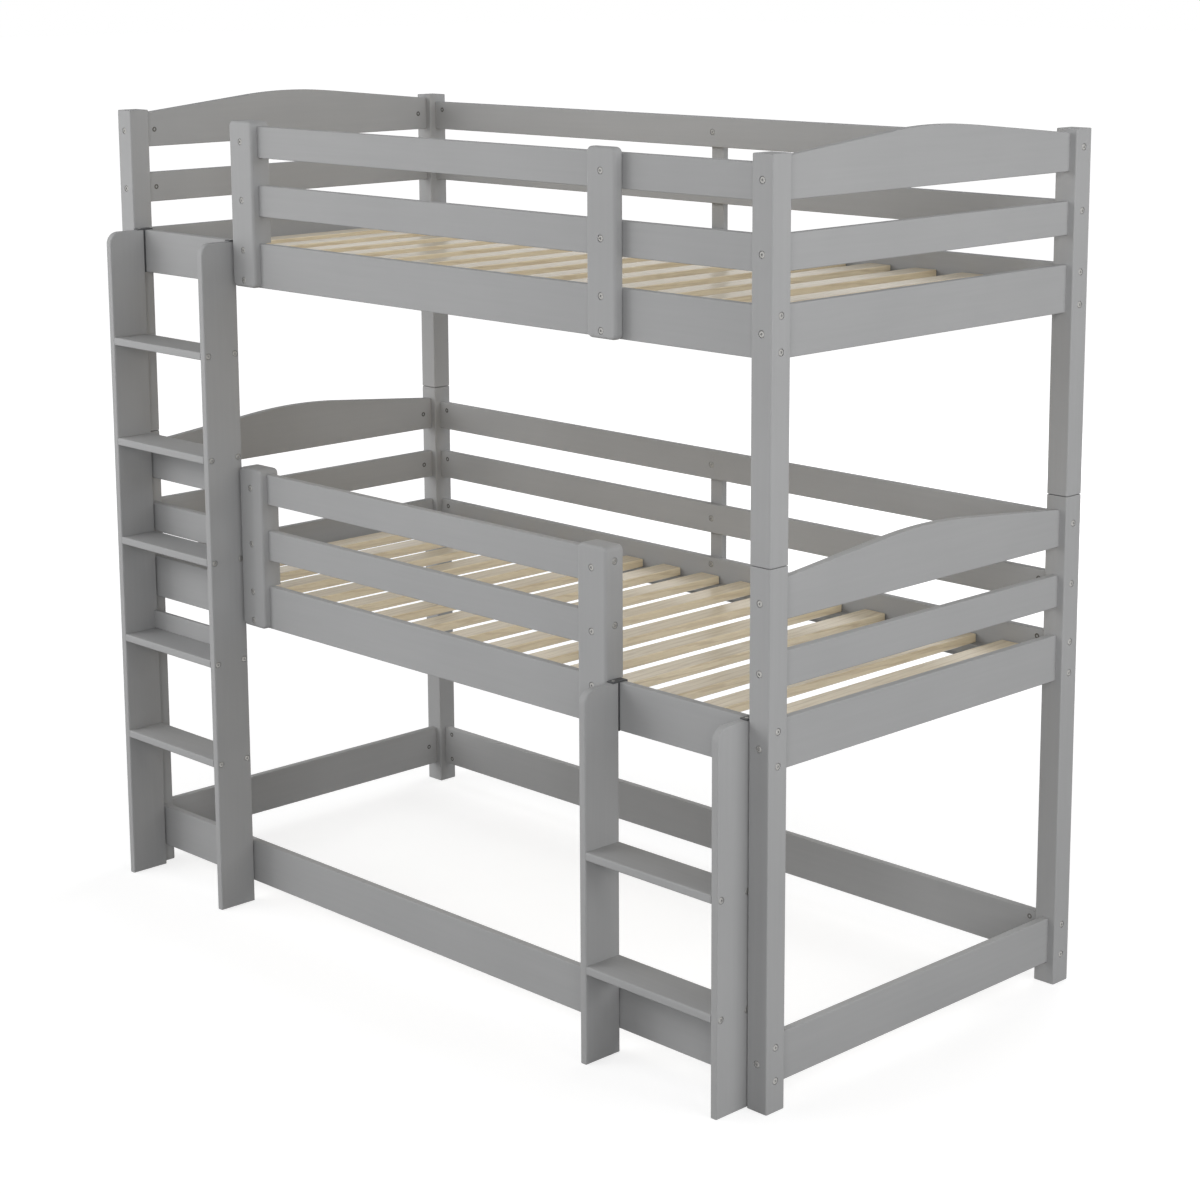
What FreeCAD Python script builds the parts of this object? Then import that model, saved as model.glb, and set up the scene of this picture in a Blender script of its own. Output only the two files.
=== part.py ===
import FreeCAD, Part
import os
import re

import Sketcher

# Three-tier bunk bed in painted wood: corner posts in two lengths, rails bolted between them, arched end
# rails, guard rails housed in guard posts, slats on ledgers and two ladders that hang on by hooks.
# Frame: +X along the bed, the front with the ladders at -Y, +Z up, origin on the floor under the middle.

# Driving sizes in millimetres
SIZES = {
    # Bunks and their heights
    "mattress_length": 2000,
    "mattress_width": 900,
    "mattress_play": 8,
    "floor_gap": 48,
    "middle_level": 680,
    "tier_pitch": 790,
    # Corner posts
    "post_side": 52,
    "post_chamfer": 3,
    "post_end_chamfer": 1.5,
    "seam_above_arch": 29,
    "post_above_arch": 8,
    # Rails
    "rail_thickness": 18,
    "bed_rail_height": 100,
    "guard_rail_height": 70,
    "rail_gap": 61,
    "rail_chamfer": 2,
    # Arched end rails
    "arch_end_height": 80,
    "arch_rise": 37,
    "arch_crown_width": 260,
    # Guard posts and back supports
    "guard_post_width": 82,
    "guard_post_rise": 11,
    "guard_corner_round": 12,
    "guard_chamfer": 4,
    "tenon_length": 50,
    "housing_play": 0.3,
    "lap_post_place": 599,
    "lap_post_width": 80,
    "lap_post_thickness": 24,
    "support_width": 38,
    # Slats and ledgers
    "slat_width": 60,
    "slat_thickness": 20,
    "slat_drop": 40,
    "slat_margin": 76,
    "slat_end_play": 4,
    "ledger_depth": 20,
    "ledger_height": 25,
    # Ladders
    "ladder_width": 378,
    "ladder_post_gap": 2,
    "ladder_guard_gap": 5,
    "stile_depth": 95,
    "stile_thickness": 18,
    "stile_round": 28,
    "stile_chamfer": 2.5,
    "rung_thickness": 18,
    "rung_chamfer": 3,
    "rung_pitch": 240,
    "tall_first_rung": 354,
    "short_first_rung": 201,
    "brace_height": 44,
    "brace_thickness": 10,
    # Ladder hooks
    "hook_width": 18,
    "hook_thickness": 3,
    "hook_gap": 0.3,
    "hook_seat": 16,
    "hook_lip": 20,
    # Bolts and dowels
    "bolt_radius": 3.5,
    "bolt_play": 0.2,
    "bolt_recess": 1,
    "corner_bolt_length": 92,
    "guard_bolt_length": 34,
    "ladder_bolt_length": 48,
    "bolt_spread": 34,
    "guard_bolt_rise": 15,
    "ladder_bolt_inset": 10.5,
    "dowel_length": 40,
    "dowel_spread": 18,
    # Room that a cut takes past the face it starts from
    "overrun": 2,
}

# Counts
SLAT_COUNT = 15
TALL_RUNG_COUNT = 5
SHORT_RUNG_COUNT = 2
BOLT_FLATS = 6

# Sizes that follow from the driving ones
FORMULAS = {
    "rail_inset": "(post_side - rail_thickness) / 2",
    "inner_length": "mattress_length + mattress_play",
    "inner_width": "mattress_width + mattress_play",
    "bed_length": "inner_length + 2 * (rail_thickness + rail_inset)",
    "bed_width": "inner_width + 2 * (rail_thickness + rail_inset)",
    # Lines along X
    "bed_end": "bed_length / 2",
    "end_line": "bed_end - post_side / 2",
    "rail_end": "bed_end - post_side",
    "ladder_line": "rail_end - ladder_post_gap - ladder_width / 2",
    "stile_spread": "(ladder_width - stile_thickness) / 2",
    "guard_line": "ladder_line - ladder_width / 2 - ladder_guard_gap - guard_post_width / 2",
    "guard_rail_end": "guard_line - guard_post_width / 2 + tenon_length",
    # Lines along Y
    "ladder_reach": "stile_depth + hook_thickness + hook_gap - rail_inset",
    "front": "(ladder_reach - bed_width) / 2",
    "back": "front + bed_width",
    "front_line": "front + post_side / 2",
    "back_line": "back - post_side / 2",
    "middle_line": "(front + back) / 2",
    "stile_line": "front_line - rail_thickness / 2 - hook_gap - hook_thickness - stile_depth / 2",
    # Heights, the two guards counted from the underside of their bed rail
    "bottom_level": "floor_gap",
    "top_level": "middle_level + tier_pitch",
    "low_guard": "bed_rail_height + rail_gap",
    "high_guard": "low_guard + guard_rail_height + rail_gap",
    "seam": "middle_level + high_guard + arch_end_height + seam_above_arch",
    "post_top": "top_level + high_guard + arch_end_height + post_above_arch",
    "guard_top": "high_guard + guard_rail_height",
    "guard_post_height": "guard_top + guard_post_rise",
    "slat_middle": "bed_rail_height - slat_drop - slat_thickness / 2",
    "ledger_middle": "bed_rail_height - slat_drop - slat_thickness - ledger_height / 2",
    "tall_stile_height": "top_level + bed_rail_height + hook_gap",
    "short_stile_height": "middle_level + bed_rail_height + hook_gap",
    # Lengths of the pieces
    "long_rail_length": "2 * rail_end",
    "end_rail_length": "bed_width - 2 * post_side",
    "front_guard_length": "rail_end + guard_rail_end",
    "front_guard_line": "(rail_end - guard_rail_end) / 2",
    "lower_post_height": "seam",
    "upper_post_height": "post_top - seam",
    "slat_length": "inner_width - 2 * slat_end_play",
    "slat_pitch": "(inner_length - 2 * slat_margin - slat_width) / slat_gaps",
    "slat_gaps": str(SLAT_COUNT - 1),
    "ledger_length": "long_rail_length - 2 * slat_end_play",
    "rung_length": "ladder_width - 2 * stile_thickness",
    "bore_radius": "bolt_radius + bolt_play",
    "corner_bore": "corner_bolt_length + bolt_recess - post_side + bolt_play",
    "tenon_bore": "corner_bolt_length + bolt_recess - guard_post_width + tenon_length + bolt_play",
    "ladder_bore": "ladder_bolt_length + bolt_recess - stile_thickness + bolt_play",
    "dowel_bore": "dowel_length / 2 + bolt_play",
}

X_AXIS = FreeCAD.Vector(1, 0, 0)
Y_AXIS = FreeCAD.Vector(0, 1, 0)
Z_AXIS = FreeCAD.Vector(0, 0, 1)
QUARTER_TURN = 90
HALF_TURN = 180

# Turns of a bar that is drawn upright, with a corner of its section kept on top
UPRIGHT = FreeCAD.Rotation()
ALONG_X = FreeCAD.Rotation(Y_AXIS, QUARTER_TURN)
ALONG_Y = FreeCAD.Rotation(Z_AXIS, QUARTER_TURN).multiply(ALONG_X)

# Turns of a rail that is drawn with its outer face to the front
FACING = {
    "front": FreeCAD.Rotation(),
    "back": FreeCAD.Rotation(Z_AXIS, HALF_TURN),
    "left": FreeCAD.Rotation(Z_AXIS, -QUARTER_TURN),
    "right": FreeCAD.Rotation(Z_AXIS, QUARTER_TURN),
}

TIERS = ("middle", "top")
SIDES = {"left": "-1", "right": "1"}
LINES = {"front": "front_line", "back": "back_line"}
SPREADS = ("-bolt_spread", "bolt_spread")

doc = FreeCAD.newDocument("bunk_bed")
sheet = doc.addObject("Spreadsheet::Sheet", "Sizes")
for row, (alias, size) in enumerate(SIZES.items(), start=1):
    sheet.set("A" + str(row), alias)
    sheet.set("B" + str(row), str(size))
    sheet.setAlias("B" + str(row), alias)
doc.recompute()

nodes = []


# Sizes and places

def formula(text):
    """Write a sum of named sizes as an expression on the sheet."""
    def refer(match):
        name = match.group()
        if name in FORMULAS:
            return "(" + formula(FORMULAS[name]) + ")"
        return "Sizes." + name
    return re.sub("[a-z_]+", refer, text)


def amount(text):
    """Work a sum of named sizes out as a number."""
    return float(sheet.evalExpression(formula(text)))


def bind(thing, name, text):
    """Tie a property to a sum of named sizes."""
    thing.setExpression(name, formula(text))


def place(thing, x, y, z, turn=UPRIGHT):
    """Turn a thing and tie its place to sums of named sizes."""
    thing.Placement = FreeCAD.Placement(FreeCAD.Vector(), turn)
    bind(thing, "Placement.Base.x", x)
    bind(thing, "Placement.Base.y", y)
    bind(thing, "Placement.Base.z", z)


def node(thing):
    """List a finished sub-part to be written."""
    nodes.append(thing)
    return thing


# Sketches and features

def plane(body, role):
    """Find an origin plane of a body by its role."""
    return next(each for each in body.Origin.OriginFeatures if each.Role == role)


def sketch_on(body, name, role):
    """Start a sketch on an origin plane of its body."""
    sketch = body.newObject("Sketcher::SketchObject", name)
    sketch.AttachmentSupport = (plane(body, role), [""])
    sketch.MapMode = "FlatFace"
    return sketch


def measure(sketch, name, kind, where, text):
    """Add a constraint whose value follows a sum of named sizes."""
    index = sketch.addConstraint(Sketcher.Constraint(kind, *where, amount(text)))
    sketch.renameConstraint(index, name)
    bind(sketch, "Constraints." + name, text)


def polygon(sketch, points):
    """Draw a closed outline of level and upright lines through points given as sums of named sizes."""
    corners = [FreeCAD.Vector(amount(across), amount(up), 0) for across, up in points]
    count = len(corners)
    for index, corner in enumerate(corners):
        sketch.addGeometry(Part.LineSegment(corner, corners[(index + 1) % count]), False)
    for index in range(count):
        sketch.addConstraint(Sketcher.Constraint("Coincident", index, 2, (index + 1) % count, 1))
    for index, (across, up) in enumerate(points):
        level = points[(index + 1) % count][1] == up
        sketch.addConstraint(Sketcher.Constraint("Horizontal" if level else "Vertical", index))
        if level:
            measure(sketch, "across_" + str(index), "DistanceX", (-1, 1, index, 1), across)
        else:
            measure(sketch, "up_" + str(index), "DistanceY", (-1, 1, index, 1), up)


def rectangle(sketch, width, height):
    """Draw a rectangle centred on the sketch's origin."""
    right = "(" + width + ") / 2"
    top = "(" + height + ") / 2"
    polygon(sketch, [("-" + right, "-" + top), (right, "-" + top), (right, top), ("-" + right, top)])


def pad(body, sketch, thickness):
    """Thicken a sketch evenly to both sides of its plane."""
    feature = body.newObject("PartDesign::Pad", sketch.Name + "_pad")
    feature.Profile = sketch
    feature.SideType = "Symmetric"
    bind(feature, "Length", thickness)
    doc.recompute()
    return feature


def edges_where(feature, wanted):
    """Name the edges of a feature that pass a test."""
    edges = feature.Shape.Edges
    return ["Edge" + str(index) for index, edge in enumerate(edges, start=1) if wanted(edge)]


def runs_along(axis):
    """Make a test for straight edges along an axis."""
    def wanted(edge):
        start, end = edge.Vertexes[0].Point, edge.Vertexes[-1].Point
        run = end - start
        return run.Length > 0 and run.cross(axis).Length < run.Length * Part.Precision.confusion()
    return wanted


def lies_at(axis, *texts):
    """Make a test for edges that lie in planes across an axis, at sums of named sizes."""
    levels = [amount(text) for text in texts]
    near = Part.Precision.confusion()

    def wanted(edge):
        reach = [vertex.Point.dot(axis) for vertex in edge.Vertexes]
        return any(all(abs(each - level) < near for each in reach) for level in levels)
    return wanted


def soften(body, kind, feature, wanted, size):
    """Round or chamfer the edges of a feature that pass a test."""
    softened = body.newObject("PartDesign::" + kind, feature.Name + "_" + kind.lower())
    softened.Base = (feature, edges_where(feature, wanted))
    bind(softened, "Radius" if kind == "Fillet" else "Size", size)
    doc.recompute()
    return softened


def bore(body, name, along, length, x, y, z):
    """Cut a bolt's bore that starts at a place and runs along an axis."""
    cut = body.newObject("PartDesign::SubtractivePrism", name)
    cut.Polygon = BOLT_FLATS
    bind(cut, "Circumradius", "bore_radius")
    bind(cut, "Height", length)
    place(cut, x, y, z, along)
    return cut


def housing(body, name, x, y, z, length, width, height):
    """Cut a square-cornered housing from its lowest corner."""
    cut = body.newObject("PartDesign::SubtractiveBox", name)
    bind(cut, "Length", length)
    bind(cut, "Width", width)
    bind(cut, "Height", height)
    place(cut, x, y, z)
    return cut


def repeat(body, name, features, axis_role, pitch, count):
    """Repeat features at a pitch along an origin axis."""
    row_of = body.newObject("PartDesign::LinearPattern", name)
    row_of.Originals = features
    row_of.Direction = (plane(body, axis_role), [""])
    row_of.Mode = "Spacing"
    bind(row_of, "Offset", pitch)
    row_of.Occurrences = count
    body.Tip = row_of
    return row_of


def new_body(label):
    """Start a sub-part."""
    body = doc.addObject("PartDesign::Body", label)
    body.Label = label
    return body


def board(label, length, thickness, height, chamfer="rail_chamfer", grain=X_AXIS):
    """Make a centred board of a length along X, a thickness along Y and a height, its long edges eased."""
    body = new_body(label)
    sketch = sketch_on(body, label + "_outline", "XZ_Plane")
    rectangle(sketch, length, height)
    blank = pad(body, sketch, thickness)
    soften(body, "Chamfer", blank, runs_along(grain), chamfer)
    return body


def end_bores(body, length, places, depth="corner_bore"):
    """Bore both ends of a board along X at places, across and up, from its centre line."""
    starts = {"_left_": "-(" + length + ") / 2 - overrun", "_right_": "(" + length + ") / 2 - " + depth}
    for end, start in starts.items():
        for index, (across, up) in enumerate(places):
            bore(body, body.Name + end + str(index), ALONG_X, depth + " + overrun", start, across, up)


def cross_bores(body, thickness, places):
    """Bore a board right through its thickness at places from its centre."""
    start = "-(" + thickness + ") / 2 - overrun"
    for index, (x, z) in enumerate(places):
        name = body.Name + "_cross_" + str(index)
        bore(body, name, ALONG_Y, thickness + " + 2 * overrun", x, start, z)


def plank(label, length, width, height, x, y, z):
    """Make a plain square-edged plank, centred on a place."""
    box = doc.addObject("Part::Box", label)
    bind(box, "Length", length)
    bind(box, "Width", width)
    bind(box, "Height", height)
    place(box, x + " - " + length + " / 2", y + " - " + width + " / 2", z + " - " + height + " / 2")
    return box


def bar(label, along, length, x, y, z):
    """Make a six-sided bolt or dowel that starts at a place and runs along an axis."""
    prism = doc.addObject("Part::Prism", label)
    prism.Polygon = BOLT_FLATS
    bind(prism, "Circumradius", "bolt_radius")
    bind(prism, "Height", length)
    place(prism, x, y, z, along)
    return prism


def group(label, things):
    """Gather identical pieces, each still a solid of its own, in one sub-part."""
    compound = doc.addObject("Part::Compound", label)
    compound.Label = label
    compound.Links = things
    return node(compound)


# Corner posts

def post_bolts(line):
    """List the heights of the bolts through the posts of the front or back line, along X and along Y."""
    lower_along_x = ["bottom_level + bed_rail_height / 2 + " + spread for spread in SPREADS]
    lower_along_y = ["bottom_level + bed_rail_height / 2"]
    upper_along_x = []
    upper_along_y = []
    for tier, along_x, along_y in (("middle_level", lower_along_x, lower_along_y),
                                   ("top_level", upper_along_x, upper_along_y)):
        along_x += [tier + " + bed_rail_height / 2 + " + spread for spread in SPREADS]
        if line == "back":
            along_x += [tier + " + " + guard + " + guard_rail_height / 2 + guard_bolt_rise"
                        for guard in ("low_guard", "high_guard")]
        along_y += [tier + " + bed_rail_height / 2",
                    tier + " + low_guard + guard_rail_height / 2",
                    tier + " + high_guard + arch_end_height / 2"]
    return {"lower": (lower_along_x, lower_along_y), "upper": (upper_along_x, upper_along_y)}


def dowel_heights():
    """List the heights of the dowels at the corner ends of the front guard rails."""
    return ["low_guard + guard_rail_height / 2 + " + step + " * dowel_spread" for step in ("-1", "1")] + [
        "high_guard + guard_rail_height / 2 + " + step + " * dowel_spread" for step in ("-1", "1")]


def corner_post(part, line, side):
    """Make one length of a corner post with its bolt bores and its half of the seam dowel's bore."""
    foot, height = {"lower": ("0", "lower_post_height"), "upper": ("seam", "upper_post_height")}[part]
    label = "_".join(("post", part, line, side))
    body = new_body(label)
    sketch = sketch_on(body, label + "_section", "XY_Plane")
    rectangle(sketch, "post_side", "post_side")
    blank = pad(body, sketch, height)
    eased = soften(body, "Chamfer", blank, runs_along(Z_AXIS), "post_chamfer")
    ends = lies_at(Z_AXIS, "-(" + height + ") / 2", "(" + height + ") / 2")
    soften(body, "Chamfer", eased, ends, "post_end_chamfer")
    drop = " - (" + foot + ") - (" + height + ") / 2"
    through = "post_side + 2 * overrun"
    start = "-post_side / 2 - overrun"
    along_x, along_y = post_bolts(line)[part]
    for index, up in enumerate(along_x):
        bore(body, label + "_long_" + str(index), ALONG_X, through, start, "0", up + drop)
    for index, up in enumerate(along_y):
        bore(body, label + "_cross_" + str(index), ALONG_Y, through, "0", start, up + drop)
    seam_start = {"lower": "(" + height + ") / 2 - dowel_bore", "upper": "-(" + height + ") / 2 - overrun"}
    bore(body, label + "_seam", UPRIGHT, "dowel_bore + overrun", "0", "0", seam_start[part])
    housed = {("lower", "left"): "middle_level", ("upper", "right"): "top_level"}.get((part, side))
    if line == "front" and housed:
        inward = {"left": "post_side / 2 - dowel_bore", "right": "-post_side / 2 - overrun"}[side]
        for index, up in enumerate(dowel_heights()):
            name = label + "_dowel_" + str(index)
            bore(body, name, ALONG_X, "dowel_bore + overrun", inward, "0", housed + " + " + up + drop)
    place(body, SIDES[side] + " * end_line", LINES[line], foot + " + (" + height + ") / 2")
    return node(body)


for part in ("lower", "upper"):
    for line in LINES:
        for side in SIDES:
            corner_post(part, line, side)


# Rails

def long_rail(label, line, height, middle, bolts, crossings):
    """Make a rail between the posts of the front or back line."""
    body = board(label, "long_rail_length", "rail_thickness", height)
    end_bores(body, "long_rail_length", [("0", up) for up in bolts])
    cross_bores(body, "rail_thickness", crossings)
    place(body, "0", LINES[line], middle, FACING[line])
    return node(body)


def end_rail(label, side, height, middle):
    """Make a straight rail between the posts of one end."""
    body = board(label, "end_rail_length", "rail_thickness", height)
    end_bores(body, "end_rail_length", [("0", "0")])
    place(body, SIDES[side] + " * end_line", "middle_line", middle, FACING[side])
    return node(body)


def arch_outline(sketch):
    """Draw a rail whose top runs straight up from both ends to a round crown in the middle."""
    end = amount("end_rail_length / 2")
    crown = amount("arch_crown_width / 2")
    half_height = amount("arch_end_height / 2")
    crest_height = amount("arch_end_height / 2 + arch_rise")
    turn_in = crest_height - amount("arch_rise") * crown / (2 * end - crown)
    foot_left = FreeCAD.Vector(-end, -half_height, 0)
    foot_right = FreeCAD.Vector(end, -half_height, 0)
    shoulder_left = FreeCAD.Vector(-end, half_height, 0)
    shoulder_right = FreeCAD.Vector(end, half_height, 0)
    crown_left = FreeCAD.Vector(-crown, turn_in, 0)
    crown_right = FreeCAD.Vector(crown, turn_in, 0)
    top = FreeCAD.Vector(0, crest_height, 0)
    under = sketch.addGeometry(Part.LineSegment(foot_left, foot_right), False)
    right_end = sketch.addGeometry(Part.LineSegment(foot_right, shoulder_right), False)
    right_slope = sketch.addGeometry(Part.LineSegment(shoulder_right, crown_right), False)
    round_top = sketch.addGeometry(Part.Arc(crown_right, top, crown_left), False)
    left_slope = sketch.addGeometry(Part.LineSegment(crown_left, shoulder_left), False)
    left_end = sketch.addGeometry(Part.LineSegment(shoulder_left, foot_left), False)
    crest = sketch.addGeometry(Part.Point(top), True)
    for first, second in ((under, right_end), (right_end, right_slope),
                          (left_slope, left_end), (left_end, under)):
        sketch.addConstraint(Sketcher.Constraint("Coincident", first, 2, second, 1))
    sketch.addConstraint(Sketcher.Constraint("Tangent", right_slope, 2, round_top, 1))
    sketch.addConstraint(Sketcher.Constraint("Tangent", round_top, 2, left_slope, 1))
    sketch.addConstraint(Sketcher.Constraint("PointOnObject", round_top, 3, -2))
    sketch.addConstraint(Sketcher.Constraint("PointOnObject", crest, 1, -2))
    sketch.addConstraint(Sketcher.Constraint("PointOnObject", crest, 1, round_top))
    sketch.addConstraint(Sketcher.Constraint("Vertical", right_end))
    sketch.addConstraint(Sketcher.Constraint("Vertical", left_end))
    sketch.addConstraint(Sketcher.Constraint("Symmetric", under, 1, under, 2, -2))
    sketch.addConstraint(Sketcher.Constraint("Equal", right_end, left_end))
    measure(sketch, "span", "DistanceX", (under, 1, under, 2), "end_rail_length")
    measure(sketch, "seat", "DistanceY", (-1, 1, under, 1), "-arch_end_height / 2")
    measure(sketch, "end_height", "DistanceY", (right_end, 1, right_end, 2), "arch_end_height")
    measure(sketch, "crown_end", "DistanceX", (-1, 1, round_top, 1), "arch_crown_width / 2")
    measure(sketch, "crest_height", "DistanceY", (-1, 1, crest, 1), "arch_end_height / 2 + arch_rise")


def arch_rail(label, side, middle):
    """Make an arched rail between the posts of one end."""
    body = new_body(label)
    sketch = sketch_on(body, label + "_outline", "XZ_Plane")
    arch_outline(sketch)
    blank = pad(body, sketch, "rail_thickness")
    faces = lies_at(Y_AXIS, "-rail_thickness / 2", "rail_thickness / 2")
    upright = runs_along(Z_AXIS)
    soften(body, "Chamfer", blank, lambda edge: faces(edge) and not upright(edge), "rail_chamfer")
    end_bores(body, "end_rail_length", [("0", "0")])
    place(body, SIDES[side] + " * end_line", "middle_line", middle, FACING[side])
    return node(body)


GUARDS = {"low": "low_guard", "high": "high_guard"}

# Places along X of the boards that are bolted to the rails of each tier
CROSSINGS = {
    ("middle", "front"): ("-guard_line", "guard_line"),
    ("top", "front"): ("-guard_line", "lap_post_place"),
    ("middle", "back"): ("0",),
    ("top", "back"): ("0",),
}

bottom_middle = "bottom_level + bed_rail_height / 2"
for line in LINES:
    long_rail("bottom_rail_" + line, line, "bed_rail_height", bottom_middle, SPREADS, [])
for side in SIDES:
    end_rail("bottom_rail_" + side, side, "bed_rail_height", bottom_middle)

for tier in TIERS:
    level = tier + "_level"
    for line in LINES:
        crossings = [(across, up) for across in CROSSINGS[tier, line] for up in SPREADS]
        long_rail(tier + "_bed_rail_" + line, line, "bed_rail_height", level + " + bed_rail_height / 2",
                  SPREADS, crossings)
    for side in SIDES:
        end_rail(tier + "_bed_rail_" + side, side, "bed_rail_height", level + " + bed_rail_height / 2")
        end_rail(tier + "_end_rail_" + side, side, "guard_rail_height",
                 level + " + low_guard + guard_rail_height / 2")
        arch_rail(tier + "_arch_rail_" + side, side, level + " + high_guard + arch_end_height / 2")
    for guard, rise in GUARDS.items():
        long_rail(tier + "_guard_rail_back_" + guard, "back", "guard_rail_height",
                  level + " + " + rise + " + guard_rail_height / 2", ["guard_bolt_rise"], [("0", "0")])


# Guard rails at the front, each from a corner post into or through the guard posts

# The side of each tier where its front guard rails end in a guard post, beside the way in
WAY_IN = {"middle": "right", "top": "left"}


def front_guard_rail(tier, guard):
    """Make a front guard rail, dowelled to a corner post and housed in a guard post at the way in."""
    label = "_".join((tier, "guard_rail_front", guard))
    body = board(label, "front_guard_length", "rail_thickness", "guard_rail_height")
    shift = {"left": "front_guard_line", "right": "-front_guard_line"}[WAY_IN[tier]]
    crossings = [(across + " - (" + shift + ")", "0") for across in CROSSINGS[tier, "front"]]
    cross_bores(body, "rail_thickness", crossings)
    left_start = "-front_guard_length / 2 - overrun"
    tenon_start = {"left": left_start, "right": "front_guard_length / 2 - tenon_bore"}[WAY_IN[tier]]
    dowel_start = {"left": "front_guard_length / 2 - dowel_bore", "right": left_start}[WAY_IN[tier]]
    bore(body, label + "_tenon", ALONG_X, "tenon_bore + overrun", tenon_start, "0", "guard_bolt_rise")
    for index, up in enumerate(("-dowel_spread", "dowel_spread")):
        bore(body, label + "_dowel_" + str(index), ALONG_X, "dowel_bore + overrun", dowel_start, "0", up)
    place(body, shift, "front_line", tier + "_level + " + GUARDS[guard] + " + guard_rail_height / 2")
    return node(body)


for tier in TIERS:
    for guard in GUARDS:
        front_guard_rail(tier, guard)


# Guard posts: a rounded block lapped over the bed rail and housed for the guard rails, or a lapped board

def rounded_board(label, width, thickness):
    """Make an upright board of the guard posts' height with round corners and eased faces."""
    body = new_body(label)
    sketch = sketch_on(body, label + "_outline", "XZ_Plane")
    rectangle(sketch, width, "guard_post_height")
    blank = pad(body, sketch, thickness)
    rounded = soften(body, "Fillet", blank, runs_along(Y_AXIS), "guard_corner_round")
    faces = lies_at(Y_AXIS, "-(" + thickness + ") / 2", "(" + thickness + ") / 2")
    soften(body, "Chamfer", rounded, faces, "guard_chamfer")
    return body


# Heights of the bolts through a guard post or a back support, from the underside of the bed rail
GUARD_MIDDLES = tuple(rise + " + guard_rail_height / 2" for rise in GUARDS.values())
BOARD_BOLTS = GUARD_MIDDLES + tuple("bed_rail_height / 2 + " + spread for spread in SPREADS)


def housed_post(tier, side):
    """Make a guard post whose housings are blind beside the way in and run through elsewhere."""
    label = "_".join((tier, "guard_post", side))
    body = rounded_board(label, "guard_post_width", "post_side")
    foot = " - guard_post_height / 2"
    outer = "-guard_post_width / 2 - overrun"
    housing(body, label + "_notch", outer, "rail_inset - post_side / 2", "-guard_post_height / 2 - overrun",
            "guard_post_width + 2 * overrun", "post_side - rail_inset + overrun",
            "bed_rail_height + housing_play + overrun")
    depth = "tenon_length + housing_play + overrun"
    start = {"left": "guard_post_width / 2 - tenon_length - housing_play", "right": outer}[side]
    if side != WAY_IN[tier]:
        depth = "guard_post_width + 2 * overrun"
        start = outer
    for guard, rise in GUARDS.items():
        housing(body, label + "_housing_" + guard, start, "-rail_thickness / 2 - housing_play",
                rise + " - housing_play" + foot, depth, "rail_thickness + 2 * housing_play",
                "guard_rail_height + 2 * housing_play")
    for index, up in enumerate(BOARD_BOLTS):
        bore(body, label + "_bolt_" + str(index), ALONG_Y, "rail_inset + 2 * overrun", "0",
             "-post_side / 2 - overrun", up + foot)
    if side == WAY_IN[tier]:
        side_start = {"left": outer, "right": "tenon_length - guard_post_width / 2 - overrun"}[side]
        for index, up in enumerate(GUARD_MIDDLES):
            bore(body, label + "_side_bolt_" + str(index), ALONG_X,
                 "guard_post_width - tenon_length + 2 * overrun", side_start, "0",
                 up + " + guard_bolt_rise" + foot)
    place(body, SIDES[side] + " * guard_line", "front_line", tier + "_level + guard_post_height / 2")
    return node(body)


housed_post("middle", "left")
housed_post("middle", "right")
housed_post("top", "left")

lap_post = rounded_board("top_guard_post_right", "lap_post_width", "lap_post_thickness")
cross_bores(lap_post, "lap_post_thickness", [("0", up + " - guard_post_height / 2") for up in BOARD_BOLTS])
place(lap_post, "lap_post_place", "front_line - (rail_thickness + lap_post_thickness) / 2",
      "top_level + guard_post_height / 2")
node(lap_post)

for tier in TIERS:
    support = board(tier + "_back_support", "support_width", "rail_inset", "guard_top", grain=Z_AXIS)
    cross_bores(support, "rail_inset", [("0", up + " - guard_top / 2") for up in BOARD_BOLTS])
    place(support, "0", "back_line + (rail_thickness + rail_inset) / 2", tier + "_level + guard_top / 2")
    node(support)


# Slats across the bed and the ledgers that carry their ends

for tier in TIERS:
    slats = []
    for index in range(SLAT_COUNT):
        across = "slat_margin + slat_width / 2 - inner_length / 2 + " + str(index) + " * slat_pitch"
        slats.append(plank(tier + "_slat", "slat_width", "slat_length", "slat_thickness",
                           across, "middle_line", tier + "_level + slat_middle"))
    group(tier + "_slats", slats)

ledgers = []
for tier in TIERS:
    for line, step in (("front", "1"), ("back", "-1")):
        inward = LINES[line] + " + " + step + " * (rail_thickness + ledger_depth) / 2"
        ledgers.append(plank(tier + "_ledger", "ledger_length", "ledger_depth", "ledger_height",
                             "0", inward, tier + "_level + ledger_middle"))
group("slat_ledgers", ledgers)


# Ladders

LADDERS = {
    "tall": ("top_level", "tall_stile_height", "tall_first_rung", TALL_RUNG_COUNT, "-ladder_line"),
    "short": ("middle_level", "short_stile_height", "short_first_rung", SHORT_RUNG_COUNT, "ladder_line"),
}
BOLT_LINES = ("ladder_bolt_inset - stile_depth / 2", "stile_depth / 2 - ladder_bolt_inset")


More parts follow.
